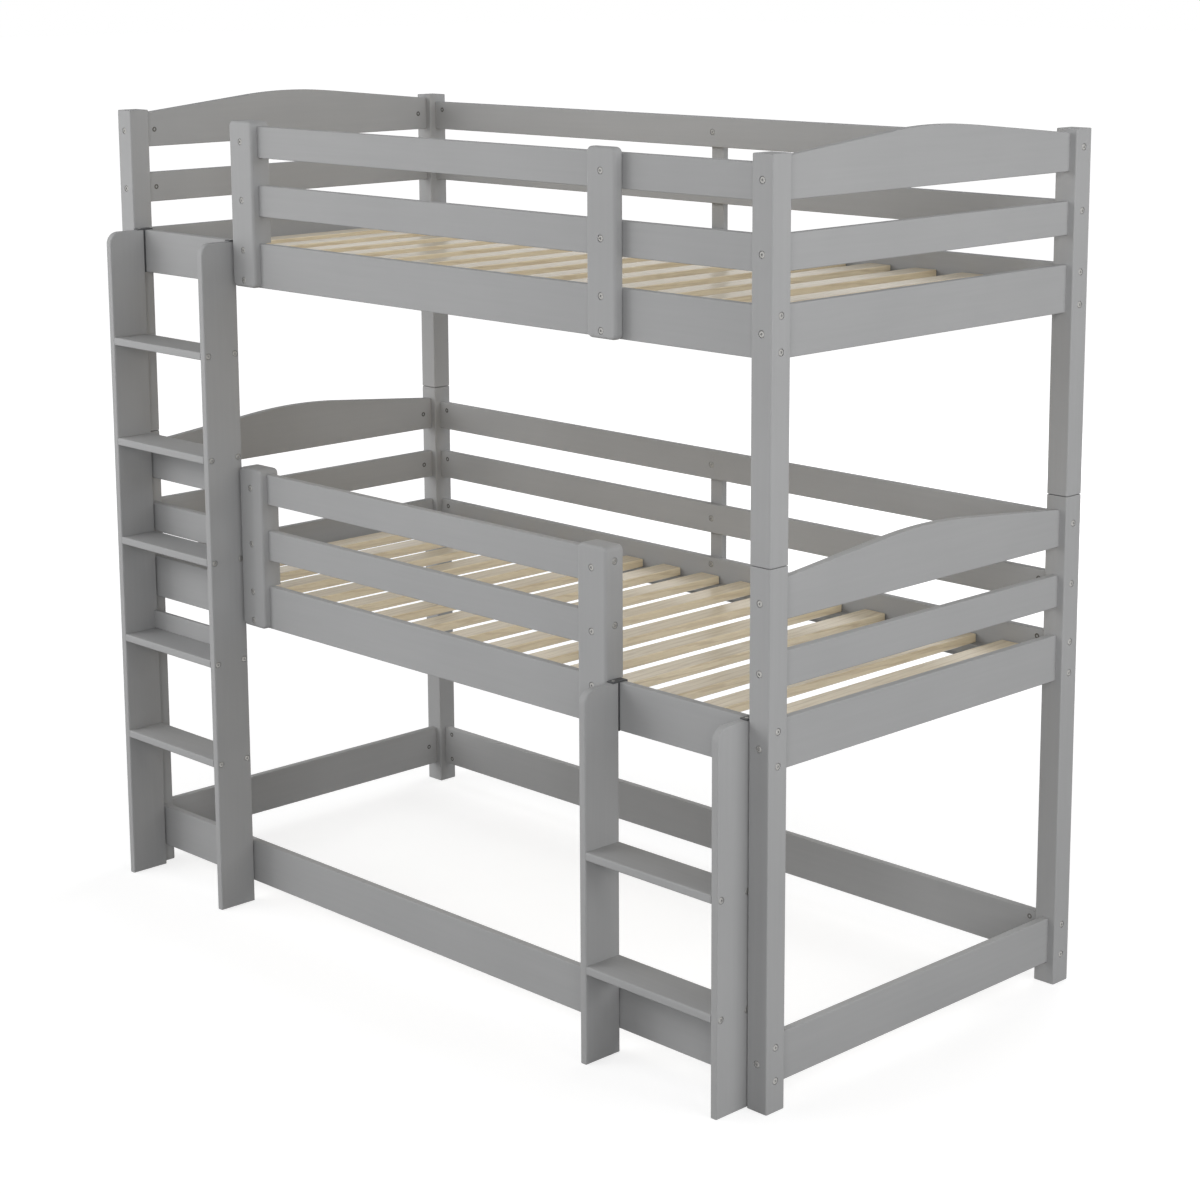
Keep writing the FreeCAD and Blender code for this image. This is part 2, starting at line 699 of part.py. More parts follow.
def stile(label, height, first_rung, count):
    """Make a stile with a round front corner on top and a pair of bolt bores at every rung."""
    body = new_body(label)
    sketch = sketch_on(body, label + "_outline", "YZ_Plane")
    rectangle(sketch, "stile_depth", height)
    blank = pad(body, sketch, "stile_thickness")
    fore = lies_at(Y_AXIS, "-stile_depth / 2")
    top = lies_at(Z_AXIS, "(" + height + ") / 2")
    rounded = soften(body, "Fillet", blank, lambda edge: fore(edge) and top(edge), "stile_round")
    faces = lies_at(X_AXIS, "-stile_thickness / 2", "stile_thickness / 2")
    soften(body, "Chamfer", rounded, faces, "stile_chamfer")
    cuts = [bore(body, label + "_bore_" + str(index), ALONG_X, "stile_thickness + 2 * overrun",
                 "-stile_thickness / 2 - overrun", across, first_rung + " - (" + height + ") / 2")
            for index, across in enumerate(BOLT_LINES)]
    repeat(body, label + "_bores", cuts, "Z_Axis", "rung_pitch", count)
    return body


def hook(label):
    """Make a hook: a strip screwed on top of a stile that runs over the bed rail and down behind it."""
    body = new_body(label)
    sketch = sketch_on(body, label + "_outline", "YZ_Plane")
    reach = "(rail_thickness / 2 + hook_gap)"
    outer = "(rail_thickness / 2 + hook_gap + hook_thickness)"
    seat_end = "-" + outer + " - hook_seat"
    under = "hook_gap"
    over = "hook_gap + hook_thickness"
    polygon(sketch, [(seat_end, under), ("-" + outer, under), ("-" + outer, "-bed_rail_height"),
                     ("-" + reach, "-bed_rail_height"), ("-" + reach, under), (reach, under),
                     (reach, "-hook_lip"), (outer, "-hook_lip"), (outer, over), (seat_end, over)])
    blank = pad(body, sketch, "hook_width")
    rear = lies_at(Y_AXIS, outer)
    top = lies_at(Z_AXIS, over)
    soften(body, "Fillet", blank, lambda edge: rear(edge) and top(edge), "hook_thickness")
    return body


for ladder, (level, height, first_rung, count, across) in LADDERS.items():
    name = ladder + "_ladder_"
    hooks = []
    for side, step in SIDES.items():
        stile_across = across + " + " + step + " * stile_spread"
        piece = stile(name + "stile_" + side, height, first_rung, count)
        place(piece, stile_across, "stile_line", height + " / 2")
        node(piece)
        strip = hook(name + "hook_" + side)
        place(strip, stile_across, "front_line", level + " + bed_rail_height")
        hooks.append(strip)
    group(name + "hooks", hooks)
    rungs = []
    bolts = []
    for index in range(count):
        up = first_rung + " + " + str(index) + " * rung_pitch"
        label = name + "rung_" + str(index)
        rung = board(label, "rung_length", "stile_depth", "rung_thickness", "rung_chamfer")
        end_bores(rung, "rung_length", [(line, "0") for line in BOLT_LINES], "ladder_bore")
        place(rung, across, "stile_line", up)
        rungs.append(rung)
        for start in ("bolt_recess - ladder_width / 2",
                      "ladder_width / 2 - bolt_recess - ladder_bolt_length"):
            bolts += [bar(name + "bolt", ALONG_X, "ladder_bolt_length", across + " + " + start,
                          "stile_line + " + line, up) for line in BOLT_LINES]
    group(name + "rungs", rungs)
    group(name + "bolts", bolts)

brace = board("tall_ladder_brace", "rung_length", "brace_thickness", "brace_height")
place(brace, "-ladder_line", "stile_line + (stile_depth - brace_thickness) / 2",
      "tall_first_rung + rung_pitch + (rung_thickness + brace_height) / 2")
node(brace)


# Bolts and dowels of the frame

corner_bolts = []
for line in LINES:
    along_y_start = {"front": "front + bolt_recess", "back": "back - bolt_recess - corner_bolt_length"}[line]
    for side, step in SIDES.items():
        along_x_start = {"left": "bolt_recess - bed_end",
                         "right": "bed_end - bolt_recess - corner_bolt_length"}[side]
        for along_x, along_y in post_bolts(line).values():
            corner_bolts += [bar("corner_bolt", ALONG_X, "corner_bolt_length", along_x_start, LINES[line], up)
                             for up in along_x]
            corner_bolts += [bar("corner_bolt", ALONG_Y, "corner_bolt_length", step + " * end_line",
                                 along_y_start, up) for up in along_y]
for tier, side in WAY_IN.items():
    start = {"left": "bolt_recess - guard_line - guard_post_width / 2",
             "right": "guard_line + guard_post_width / 2 - bolt_recess - corner_bolt_length"}[side]
    corner_bolts += [bar("corner_bolt", ALONG_X, "corner_bolt_length", start, "front_line",
                         tier + "_level + " + up + " + guard_bolt_rise") for up in GUARD_MIDDLES]
group("corner_bolts", corner_bolts)

guard_bolts = []
for (tier, line), crossings in CROSSINGS.items():
    for across in crossings:
        start = {"front": "front + bolt_recess", "back": "back_line - rail_thickness / 2 + bolt_recess"}[line]
        if across == "lap_post_place":
            start = "front_line - rail_thickness / 2 - lap_post_thickness + bolt_recess"
        guard_bolts += [bar("guard_bolt", ALONG_Y, "guard_bolt_length", across, start,
                            tier + "_level + " + up) for up in BOARD_BOLTS]
group("guard_bolts", guard_bolts)

dowels = []
for line in LINES:
    for step in SIDES.values():
        dowels.append(bar("seam_dowel", UPRIGHT, "dowel_length", step + " * end_line", LINES[line],
                          "seam - dowel_length / 2"))
for tier, side in WAY_IN.items():
    start = {"left": "rail_end - dowel_length / 2", "right": "-rail_end - dowel_length / 2"}[side]
    dowels += [bar("rail_dowel", ALONG_X, "dowel_length", start, "front_line", tier + "_level + " + up)
               for up in dowel_heights()]
group("dowels", dowels)


# Check and write the sub-parts

doc.recompute()
for thing in doc.Objects:
    if "Invalid" in thing.State or "Error" in thing.State:
        raise RuntimeError(thing.Label + " failed: " + ", ".join(thing.State))
for sub_part in nodes:
    if sub_part.Shape.isNull() or not sub_part.Shape.isValid():
        raise RuntimeError(sub_part.Label + " has no valid shape")

os.makedirs("parts", exist_ok=True)
for sub_part in nodes:
    sub_part.Shape.exportStep(os.path.join("parts", sub_part.Label + ".step"))
print(len(nodes), "sub-parts,", sum(len(sub_part.Shape.Solids) for sub_part in nodes), "solids")
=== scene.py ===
"""Looks of a three-tier bunk bed: painted timber, pine slats, fasteners and a plain studio."""

import logging
import math
from dataclasses import dataclass
from enum import Enum
from functools import cached_property
from typing import Any, Callable, Sequence

import bmesh
import bpy
from mathutils import Euler, Matrix, Vector


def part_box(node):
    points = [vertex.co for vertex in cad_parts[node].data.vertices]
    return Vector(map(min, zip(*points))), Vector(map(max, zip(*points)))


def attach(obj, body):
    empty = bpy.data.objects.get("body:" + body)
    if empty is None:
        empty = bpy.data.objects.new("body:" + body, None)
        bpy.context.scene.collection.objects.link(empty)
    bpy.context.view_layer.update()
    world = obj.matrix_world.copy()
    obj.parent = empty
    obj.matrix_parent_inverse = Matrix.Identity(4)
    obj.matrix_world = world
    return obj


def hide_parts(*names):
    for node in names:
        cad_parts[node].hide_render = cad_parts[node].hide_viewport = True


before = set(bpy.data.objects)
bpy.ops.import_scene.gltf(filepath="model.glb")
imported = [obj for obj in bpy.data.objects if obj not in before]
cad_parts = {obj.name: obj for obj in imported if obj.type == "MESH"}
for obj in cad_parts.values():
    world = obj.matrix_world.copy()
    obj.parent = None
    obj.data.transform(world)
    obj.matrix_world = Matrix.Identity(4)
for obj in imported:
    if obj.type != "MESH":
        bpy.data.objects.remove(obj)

LOG = logging.getLogger("bunk_bed")
Piece = bpy.types.Object
Mesh = bpy.types.Mesh
Material = bpy.types.Material
Node = bpy.types.Node
Socket = bpy.types.NodeSocket
Shape = bmesh.types.BMesh
Colour = tuple[float, float, float, float]
Point = tuple[float, float, float]
Range = tuple[float, float]
Outline = list[tuple[float, float]]
Corners = tuple[Vector, Vector]
Spot = tuple[Vector, Vector]
EdgeTest = Callable[[Vector, Vector], bool]

FRAME_BODY = "frame"
SIDES = ("left", "right")
TIERS = ("middle", "top")
LINES = ("front", "back")
LADDERS = ("tall_ladder", "short_ladder")
EVEN = (1.0, 1.0, 1.0)
# Tolerances in metres, for places that agree and for points that are one
NEAR = 1e-5
WELD = 1e-6
# Flats in a rounded edge along a board and round its ends
LONG_STEPS = 3
END_STEPS = 2
# Seeds of the random draws
BOLT_SEED = 1
SLAT_SEED = 3
LADDER_SEED = 7


class Axis(Enum):
    """The direction that a board's grain or thickness runs in."""

    X = 0
    Y = 1
    Z = 2


class Slot(Enum):
    """The record's material slots that new pieces belong to."""

    PAINT = "painted_wood"
    PINE = "pine"
    BOLT = "bolt_steel"


# Node trees

class NodeSheet:
    """A node tree that is written out node by node."""

    def __init__(self, tree: bpy.types.NodeTree) -> None:
        """Start on a tree."""
        self.tree = tree

    def feed(self, socket: Socket, value: Any) -> None:
        """Link a socket, or set its own value.

        Args:
            socket: the input to feed.
            value: an output socket, a node whose first output is meant, or a plain value.
        """
        if isinstance(value, Node):
            value = value.outputs[0]
        if isinstance(value, Socket):
            self.tree.links.new(value, socket)
        else:
            socket.default_value = value

    def add(self, kind: str, inputs: dict[str | int, Any] | None = None, **settings: Any) -> Node:
        """Add a node.

        Args:
            kind: Blender's name of the node type.
            inputs: what feeds its inputs, by their names or numbers.
            **settings: properties of the node.

        Returns:
            The new node.
        """
        node = self.tree.nodes.new(kind)
        for name, value in settings.items():
            setattr(node, name, value)
        for name, value in (inputs or {}).items():
            self.feed(node.inputs[name], value)
        return node

    def sum(self, operation: str, *values: Any) -> Node:
        """Add a math node that works an operation out on its values, in order."""
        return self.add("ShaderNodeMath", dict(enumerate(values)), operation=operation)


class ShaderSheet(NodeSheet):
    """The emptied tree of a material or a world, with the patterns that finishes share."""

    def __init__(self, owner: Material | bpy.types.World) -> None:
        """Start on the owner's tree.

        Args:
            owner: the material or the world.
        """
        owner.use_nodes = True
        super().__init__(owner.node_tree)
        self.tree.nodes.clear()

    def own_place(self) -> Socket:
        """Give the piece's own coordinates."""
        return self.add("ShaderNodeTexCoord").outputs["Object"]

    def noise(self, scale: float, detail: float, stretch: Sequence[float] = EVEN, wander: float = 0.0,
              place: Any = None) -> Node:
        """Add a noise pattern.

        Args:
            scale: how many bumps go to a metre.
            detail: how many finer octaves are added.
            stretch: factors of the scale along X, Y and Z.
            wander: how far the pattern is distorted.
            place: where it lies, if not on the piece's own coordinates.

        Returns:
            The pattern.
        """
        start = self.own_place() if place is None else place
        mapped = self.add("ShaderNodeMapping", {"Vector": start, "Scale": tuple(stretch)})
        return self.add("ShaderNodeTexNoise", {
            "Vector": mapped, "Scale": scale, "Detail": detail, "Distortion": wander})

    def weigh(self, share: float, first: Any, second: Any) -> Node:
        """Add up two patterns; the share is the first one's part of the whole."""
        return self.sum("ADD", self.sum("MULTIPLY", first, share),
                        self.sum("MULTIPLY", second, 1.0 - share))

    def blend(self, share: Any, first: Any, second: Any) -> Socket:
        """Mix two colours; the share says how much of the second one shows."""
        mix = self.add("ShaderNodeMix", {0: share, 6: first, 7: second}, data_type="RGBA")
        return mix.outputs[2]

    def span(self, value: Any, low: float, high: float, start: float = 0.3, end: float = 0.7) -> Node:
        """Spread a pattern's range from start to end over the values from low to high."""
        return self.add("ShaderNodeMapRange", {0: value, 1: start, 2: end, 3: low, 4: high})

    def bumps(self, height: Any, strength: float, depth: float, **under: Any) -> Node:
        """Raise a pattern from the surface, or from the bumps under it."""
        return self.add("ShaderNodeBump", {
            "Height": height, "Strength": strength, "Distance": depth, **under})

    def close(self, inputs: dict[str, Any]) -> None:
        """End a material in a Principled shader with these inputs."""
        shader = self.add("ShaderNodeBsdfPrincipled", inputs)
        self.add("ShaderNodeOutputMaterial", {"Surface": shader})


class RowTree(NodeSheet):
    """A Geometry Nodes tree with named inputs that ends in real, finished mesh."""

    def __init__(self, name: str, inputs: dict[str, Sequence[str]]) -> None:
        """Start a tree.

        Args:
            name: the tree's name.
            inputs: the names of its own inputs by their kind of socket.
        """
        super().__init__(bpy.data.node_groups.new(name, "GeometryNodeTree"))
        self.identifiers: dict[str, str] = {}
        sockets = self.tree.interface
        for kind, names in {"Geometry": ["Points"], "Material": ["Material"], **inputs}.items():
            for each in names:
                socket = sockets.new_socket(each, in_out="INPUT", socket_type="NodeSocket" + kind)
                self.identifiers[each] = socket.identifier
        sockets.new_socket("Mesh", in_out="OUTPUT", socket_type="NodeSocketGeometry")
        self.given = self.add("NodeGroupInput").outputs

    def close(self, instances: Any) -> None:
        """End the tree: make the instances real and give them their material."""
        dressed = self.add("GeometryNodeSetMaterial", {
            "Geometry": self.add("GeometryNodeRealizeInstances", {"Geometry": instances}),
            "Material": self.given["Material"]})
        self.add("NodeGroupOutput", {"Mesh": dressed})

    def grow(self, name: str, points: Mesh, sizes: dict[str, Any]) -> Piece:
        """Run the tree and keep its result as plain mesh.

        Args:
            name: the new piece's name.
            points: the mesh that the tree starts from.
            sizes: values for the tree's named inputs.

        Returns:
            The piece, with no modifier left on it.
        """
        piece = place_in_scene(name, points)
        modifier = piece.modifiers.new(name, "NODES")
        modifier.node_group = self.tree
        for key, value in sizes.items():
            modifier[self.identifiers[key]] = value
        apply(piece, modifier)
        return piece


# Finishes

@dataclass(frozen=True)
class PaintedWood:
    """Satin grey paint on planed boards, with the grain just showing through."""

    grain: Axis
    colour: Colour = (0.412, 0.414, 0.417, 1.0)
    shade: Colour = (0.378, 0.380, 0.383, 1.0)
    gloss: float = 0.08
    roughness: Range = (0.64, 0.78)
    grain_stretch: float = 0.035
    streak_scale: float = 120.0
    streak_detail: float = 5.0
    streak_wander: float = 0.3
    streak_share: float = 0.35
    cloud_scale: float = 3.0
    cloud_detail: float = 3.0
    peel_scale: float = 700.0
    peel_detail: float = 2.0
    peel_share: float = 0.4
    bump: float = 0.10
    groove_depth: float = 0.0006
    peel_depth: float = 0.0002

    def material(self) -> Material:
        """Make the paint for boards of one grain direction.

        Returns:
            The material, made once for each direction.
        """
        name = "grey_paint_grain_" + self.grain.name.lower()
        if name in bpy.data.materials:
            return bpy.data.materials[name]
        material = bpy.data.materials.new(name)
        sheet = ShaderSheet(material)
        stretch = list(EVEN)
        stretch[self.grain.value] = self.grain_stretch
        streaks = sheet.noise(self.streak_scale, self.streak_detail, stretch, self.streak_wander)
        clouds = sheet.noise(self.cloud_scale, self.cloud_detail)
        peel = sheet.noise(self.peel_scale, self.peel_detail)
        tone = sheet.span(sheet.weigh(self.streak_share, streaks, clouds), 0.0, 1.0)
        matt = sheet.weigh(self.peel_share, peel, clouds)
        grooves = sheet.bumps(streaks, self.bump, self.groove_depth)
        sheet.close({"Base Color": sheet.blend(tone, self.shade, self.colour),
                     "Roughness": sheet.span(matt, *self.roughness),
                     "Specular IOR Level": self.gloss,
                     "Normal": sheet.bumps(peel, self.bump, self.peel_depth, Normal=grooves)})
        return material


@dataclass(frozen=True)
class PineWood:
    """Planed pine under a thin clear lacquer, with its growth lines along the slat."""

    pale: Colour = (0.90, 0.79, 0.58, 1.0)
    warm: Colour = (0.83, 0.70, 0.475, 1.0)
    line: Colour = (0.60, 0.47, 0.30, 1.0)
    gloss: float = 0.4
    roughness: Range = (0.42, 0.56)
    lacquer: float = 1.0
    lacquer_roughness: float = 0.22
    cut_along: float = 9.0
    cut_up: float = 0.4
    grain_stretch: float = 0.06
    ring_scale: float = 34.0
    ring_wander: float = 5.0
    ring_detail: float = 2.0
    ring_detail_scale: float = 3.0
    fibre_scale: float = 330.0
    fibre_detail: float = 4.0
    band_scale: float = 14.0
    band_detail: float = 2.0
    late_start: float = 0.72
    late_share: float = 0.55
    band_share: float = 0.8
    fibre_share: float = 0.38
    tone_share: float = 0.3
    bump: float = 0.2
    fibre_depth: float = 0.0004

    def material(self) -> Material:
        """Make the pine; every slat is cut from another part of the pattern.

        Returns:
            The material.
        """
        material = bpy.data.materials.new("planed_pine")
        sheet = ShaderSheet(material)
        tone = sheet.add("ShaderNodeAttribute", attribute_name="slat_tone").outputs["Fac"]
        cut = sheet.add("ShaderNodeCombineXYZ", {"Y": sheet.sum("MULTIPLY", tone, self.cut_along),
                                                 "Z": sheet.sum("MULTIPLY", tone, self.cut_up)})
        moved = sheet.add("ShaderNodeVectorMath", {0: sheet.own_place(), 1: cut}, operation="ADD")
        place = sheet.add("ShaderNodeMapping", {"Vector": moved, "Scale": (1.0, self.grain_stretch, 1.0)})
        rings = sheet.add("ShaderNodeTexWave", {
            "Vector": place, "Scale": self.ring_scale, "Distortion": self.ring_wander,
            "Detail": self.ring_detail, "Detail Scale": self.ring_detail_scale},
            bands_direction="DIAGONAL").outputs["Fac"]
        fibre = sheet.noise(self.fibre_scale, self.fibre_detail, place=place)
        bands = sheet.noise(self.band_scale, self.band_detail, place=place)
        colour = sheet.blend(sheet.span(bands, 0.0, self.band_share), self.pale, self.warm)
        late = sheet.span(rings, 0.0, self.late_share, self.late_start, 1.0)
        colour = sheet.blend(late, colour, self.line)
        colour = sheet.blend(sheet.span(fibre, 0.0, self.fibre_share), colour, self.line)
        colour = sheet.blend(sheet.sum("MULTIPLY", tone, self.tone_share), colour, self.warm)
        sheet.close({"Base Color": colour, "Roughness": sheet.span(fibre, *self.roughness),
                     "Specular IOR Level": self.gloss, "Coat Weight": self.lacquer,
                     "Coat Roughness": self.lacquer_roughness,
                     "Normal": sheet.bumps(fibre, self.bump, self.fibre_depth)})
        return material


@dataclass(frozen=True)
class MetalFinish:
    """A fastener's metal, plated or powder coated."""

    name: str
    colour: Colour
    shade: Colour
    metallic: float
    roughness: Range
    speckle_scale: float
    speckle_detail: float = 2.0
    cloud_scale: float = 160.0
    cloud_detail: float = 3.0
    bump: float = 0.15
    speckle_depth: float = 0.0002

    def material(self) -> Material:
        """Make the metal.

        Returns:
            The material.
        """
        material = bpy.data.materials.new(self.name)
        sheet = ShaderSheet(material)
        clouds = sheet.span(sheet.noise(self.cloud_scale, self.cloud_detail), 0.0, 1.0)
        speckle = sheet.noise(self.speckle_scale, self.speckle_detail)
        sheet.close({"Base Color": sheet.blend(clouds, self.shade, self.colour),
                     "Roughness": sheet.span(speckle, *self.roughness), "Metallic": self.metallic,
                     "Normal": sheet.bumps(speckle, self.bump, self.speckle_depth)})
        return material


@dataclass(frozen=True)
class DowelWood:
    """Plain turned beech of the hidden dowels."""

    pale: Colour = (0.62, 0.46, 0.31, 1.0)
    dark: Colour = (0.48, 0.33, 0.20, 1.0)
    roughness: Range = (0.5, 0.65)
    fleck_scale: float = 600.0
    fleck_detail: float = 3.0
    fleck_stretch: Point = (1.0, 1.0, 0.2)

    def material(self) -> Material:
        """Make the dowel wood.

        Returns:
            The material.
        """
        material = bpy.data.materials.new("turned_beech")
        sheet = ShaderSheet(material)
        flecks = sheet.noise(self.fleck_scale, self.fleck_detail, self.fleck_stretch)
        share = sheet.span(flecks, 0.0, 1.0)
        sheet.close({"Base Color": sheet.blend(share, self.pale, self.dark),
                     "Roughness": sheet.span(flecks, *self.roughness)})
        return material


BOLT_STEEL = MetalFinish(
    "plated_bolt_steel", colour=(0.52, 0.514, 0.495, 1.0), shade=(0.43, 0.425, 0.41, 1.0),
    metallic=0.8, roughness=(0.5, 0.64), speckle_scale=2500.0)
NUT_STEEL = MetalFinish(
    "plated_nut_steel", colour=(0.17, 0.165, 0.155, 1.0), shade=(0.12, 0.117, 0.11, 1.0),
    metallic=0.9, roughness=(0.4, 0.55), speckle_scale=2500.0)
HOOK_COAT = MetalFinish(
    "dark_powder_coat", colour=(0.085, 0.087, 0.09, 1.0), shade=(0.06, 0.061, 0.064, 1.0),
    metallic=0.0, roughness=(0.42, 0.58), speckle_scale=1800.0)


# Meshes

def place_in_scene(name: str, data: bpy.types.ID) -> Piece:
    """Make an object and put it into the scene.

    Args:
        name: the object's name.
        data: its mesh, light or camera.

    Returns:
        The object.
    """
    thing = bpy.data.objects.new(name, data)
    bpy.context.scene.collection.objects.link(thing)
    return thing


def apply(piece: Piece, modifier: bpy.types.Modifier) -> None:
    """Put what a piece's only modifier makes in the place of its mesh.

    Args:
        piece: the piece to change.
        modifier: its modifier, which is used up.
    """
    graph = bpy.context.evaluated_depsgraph_get()
    made = bpy.data.meshes.new_from_object(piece.evaluated_get(graph), depsgraph=graph)
    piece.modifiers.remove(modifier)
    old, piece.data = piece.data, made
    bpy.data.meshes.remove(old)
    made.name = piece.name


def settle_normals(mesh: Mesh, crease: float = 50.0) -> None:
    """Shade a mesh smoothly over its eased edges and flat over its large faces.

    Args:
        mesh: the mesh to shade.
        crease: the angle in degrees past which two faces meet in a sharp edge.
    """
    mesh.shade_smooth()
    limit = math.cos(math.radians(crease))
    normals = [face.normal.copy() for face in mesh.polygons]
    areas = [face.area for face in mesh.polygons]
    around: list[list[int]] = [[] for _ in mesh.vertices]
    for face in mesh.polygons:
        for vertex in face.vertices:
            around[vertex].append(face.index)
    corners = []
    for face in mesh.polygons:
        own = normals[face.index]
        for vertex in face.vertices:
            near = [i for i in around[vertex] if own.dot(normals[i]) > limit]
            corners.append(sum((normals[i] * areas[i] for i in near), Vector()).normalized())
    mesh.normals_split_custom_set(corners)


def mesh_from(shape: Shape, name: str) -> Mesh:
    """Turn a shape into a mesh.

    Args:
        shape: the shape, which is used up.
        name: the mesh's name.

    Returns:
        The mesh.
    """
    mesh = bpy.data.meshes.new(name)
    shape.to_mesh(mesh)
    shape.free()
    return mesh


def square_to(axis: Axis) -> EdgeTest:
    """Make the test for edges that are square to a direction."""
    return lambda a, b: abs(a[axis.value] - b[axis.value]) < NEAR


def ease(shape: Shape, wanted: EdgeTest, radius: float, segments: int) -> None:
    """Round the edges of a shape whose two ends pass a test, with so many flats."""
    edges = [edge for edge in shape.edges if wanted(edge.verts[0].co, edge.verts[1].co)]
    bmesh.ops.bevel(shape, geom=edges, offset=radius, offset_type="OFFSET", segments=segments,
                    profile=0.5, affect="EDGES", clamp_overlap=True)


def block(low: Vector, high: Vector) -> Shape:
    """Make a square-edged block.

    Args:
        low, high: its lowest and highest corner.

    Returns:
        The shape.
    """
    shape = bmesh.new()
    bmesh.ops.create_cube(shape, size=1.0)
    for vertex in shape.verts:
        vertex.co = [high[i] if vertex.co[i] > 0.0 else low[i] for i in range(3)]
    return shape


def eased_board(low: Vector, high: Vector, grain: Axis, long_ease: float, end_ease: float = 0.0) -> Shape:
    """Make a straight board with round long edges.

    Args:
        low, high: its lowest and highest corner.
        grain: the direction of its length.
        long_ease: the radius of the edges along its length.
        end_ease: the radius of the edges round its ends, or 0 for sharp ends.

    Returns:
        The shape.
    """
    run = grain.value
    across = square_to(grain)
    shape = block(low, high)
    ease(shape, lambda a, b: not across(a, b), long_ease, LONG_STEPS)
    if end_ease:
        ease(shape, lambda a, b: across(a, b) and min(
            abs(a[run] - low[run]), abs(a[run] - high[run])) < NEAR, end_ease, END_STEPS)
    return shape


def extruded(outline: Outline, across: Axis, start: float, end: float) -> Shape:
    """Thicken a flat outline.

    Args:
        outline: points in the two other directions, in their order X, Y, Z.
        across: the direction of the thickness.
        start: where the thickness starts.
        end: where it ends.

    Returns:
        The shape.
    """
    shape = bmesh.new()
    others = [i for i in range(3) if i != across.value]
    corners = []
    for point in outline:
        place = Vector()
        place[across.value] = start
        place[others[0]], place[others[1]] = point
        corners.append(shape.verts.new(place))
    face = shape.faces.new(corners)
    grown = bmesh.ops.extrude_face_region(shape, geom=[face])
    for element in grown["geom"]:
        if isinstance(element, bmesh.types.BMVert):
            element.co[across.value] = end
    return shape


def carve(piece: Piece, shape: Shape) -> None:
    """Cut a shape out of a piece.

    Args:
        piece: the piece to cut.
        shape: what is cut away, which is used up.
    """
    mesh = mesh_from(shape, "cutter")
    cutter = place_in_scene("cutter", mesh)
    modifier = piece.modifiers.new("cut", "BOOLEAN")
    modifier.operation = "DIFFERENCE"
    modifier.object = cutter
    apply(piece, modifier)
    bpy.data.objects.remove(cutter)
    bpy.data.meshes.remove(mesh)
    settle_normals(piece.data)


def arc(centre: Range, radius: float, start: float, end: float, steps: int) -> Outline:
    """List the points of an arc from one angle in degrees to another, in so many steps."""
    angles = [math.radians(start + (end - start) * i / steps) for i in range(steps + 1)]
    return [(centre[0] + radius * math.cos(a), centre[1] + radius * math.sin(a)) for a in angles]


def extent(points: Sequence[Vector]) -> Corners:
    """Find the lowest and the highest corner of some points."""
    return (Vector(min(point[i] for point in points) for i in range(3)),
            Vector(max(point[i] for point in points) for i in range(3)))


def islands(node: str) -> list[Corners]:
    """Find the separate solids of a CAD node.

    Args:
        node: the node's name.

    Returns:
        The lowest and highest corner of each solid.
    """
    shape = bmesh.new()
    shape.from_mesh(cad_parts[node].data)
    bmesh.ops.remove_doubles(shape, verts=shape.verts[:], dist=WELD)
    found = []
    seen: set[bmesh.types.BMVert] = set()
    for first in shape.verts:
        if first in seen:
            continue
        seen.add(first)
        waiting, solid = [first], []
        while waiting:
            vertex = waiting.pop()
            solid.append(vertex.co.copy())
            fresh = {edge.other_vert(vertex) for edge in vertex.link_edges} - seen
            seen |= fresh
            waiting += fresh
        found.append(extent(solid))
    shape.free()
    return found


def hand_over(piece: Piece, body: str, slot: Slot, *nodes: str) -> None:
    """Tie a finished piece to the frame and report it.

    Args:
        piece: the piece.
        body: the CAD body that it moves with.
        slot: the material slot that its finish belongs to; it is not used.
        *nodes: the CAD nodes that it stands for, if any.
    """
    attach(piece, body)
    if nodes:
        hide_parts(*nodes)
    LOG.info("%s: %d faces on %s", piece.name, len(piece.data.polygons), body)


def paint_board(node: str, shape: Shape, grain: Axis, body: str = FRAME_BODY,
                fasteners: "Fasteners | None" = None, notch: Shape | None = None) -> None:
    """Make a painted board of a finished shape and tie it to the frame.

    Args:
        node: the CAD node that the board stands for.
        shape: the board's shape, which is used up.
        grain: the direction of its length.
        body: the CAD body that it moves with.
        fasteners: the bolts whose heads are let into it, if any are.
        notch: what is cut out of it, if anything is.
    """
    name = "painted_" + node
    bmesh.ops.recalc_face_normals(shape, faces=shape.faces[:])
    mesh = mesh_from(shape, name)
    mesh.materials.append(PaintedWood(grain).material())
    settle_normals(mesh)
    piece = place_in_scene(name, mesh)
    if notch is not None:
        carve(piece, notch)
    if fasteners is not None:
        fasteners.bore(piece)
    hand_over(piece, body, Slot.PAINT, node)


def dress_node(node: str, material: Material) -> None:
    """Give a CAD node that is shown as it is its material.

    Args:
        node: the node's name.
        material: its material.
    """
    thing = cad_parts[node]
    if not thing.material_slots:
        thing.data.materials.append(material)
    for slot in thing.material_slots:
        slot.material = material
    LOG.info("%s: %s", node, material.name)


# Repeated pieces

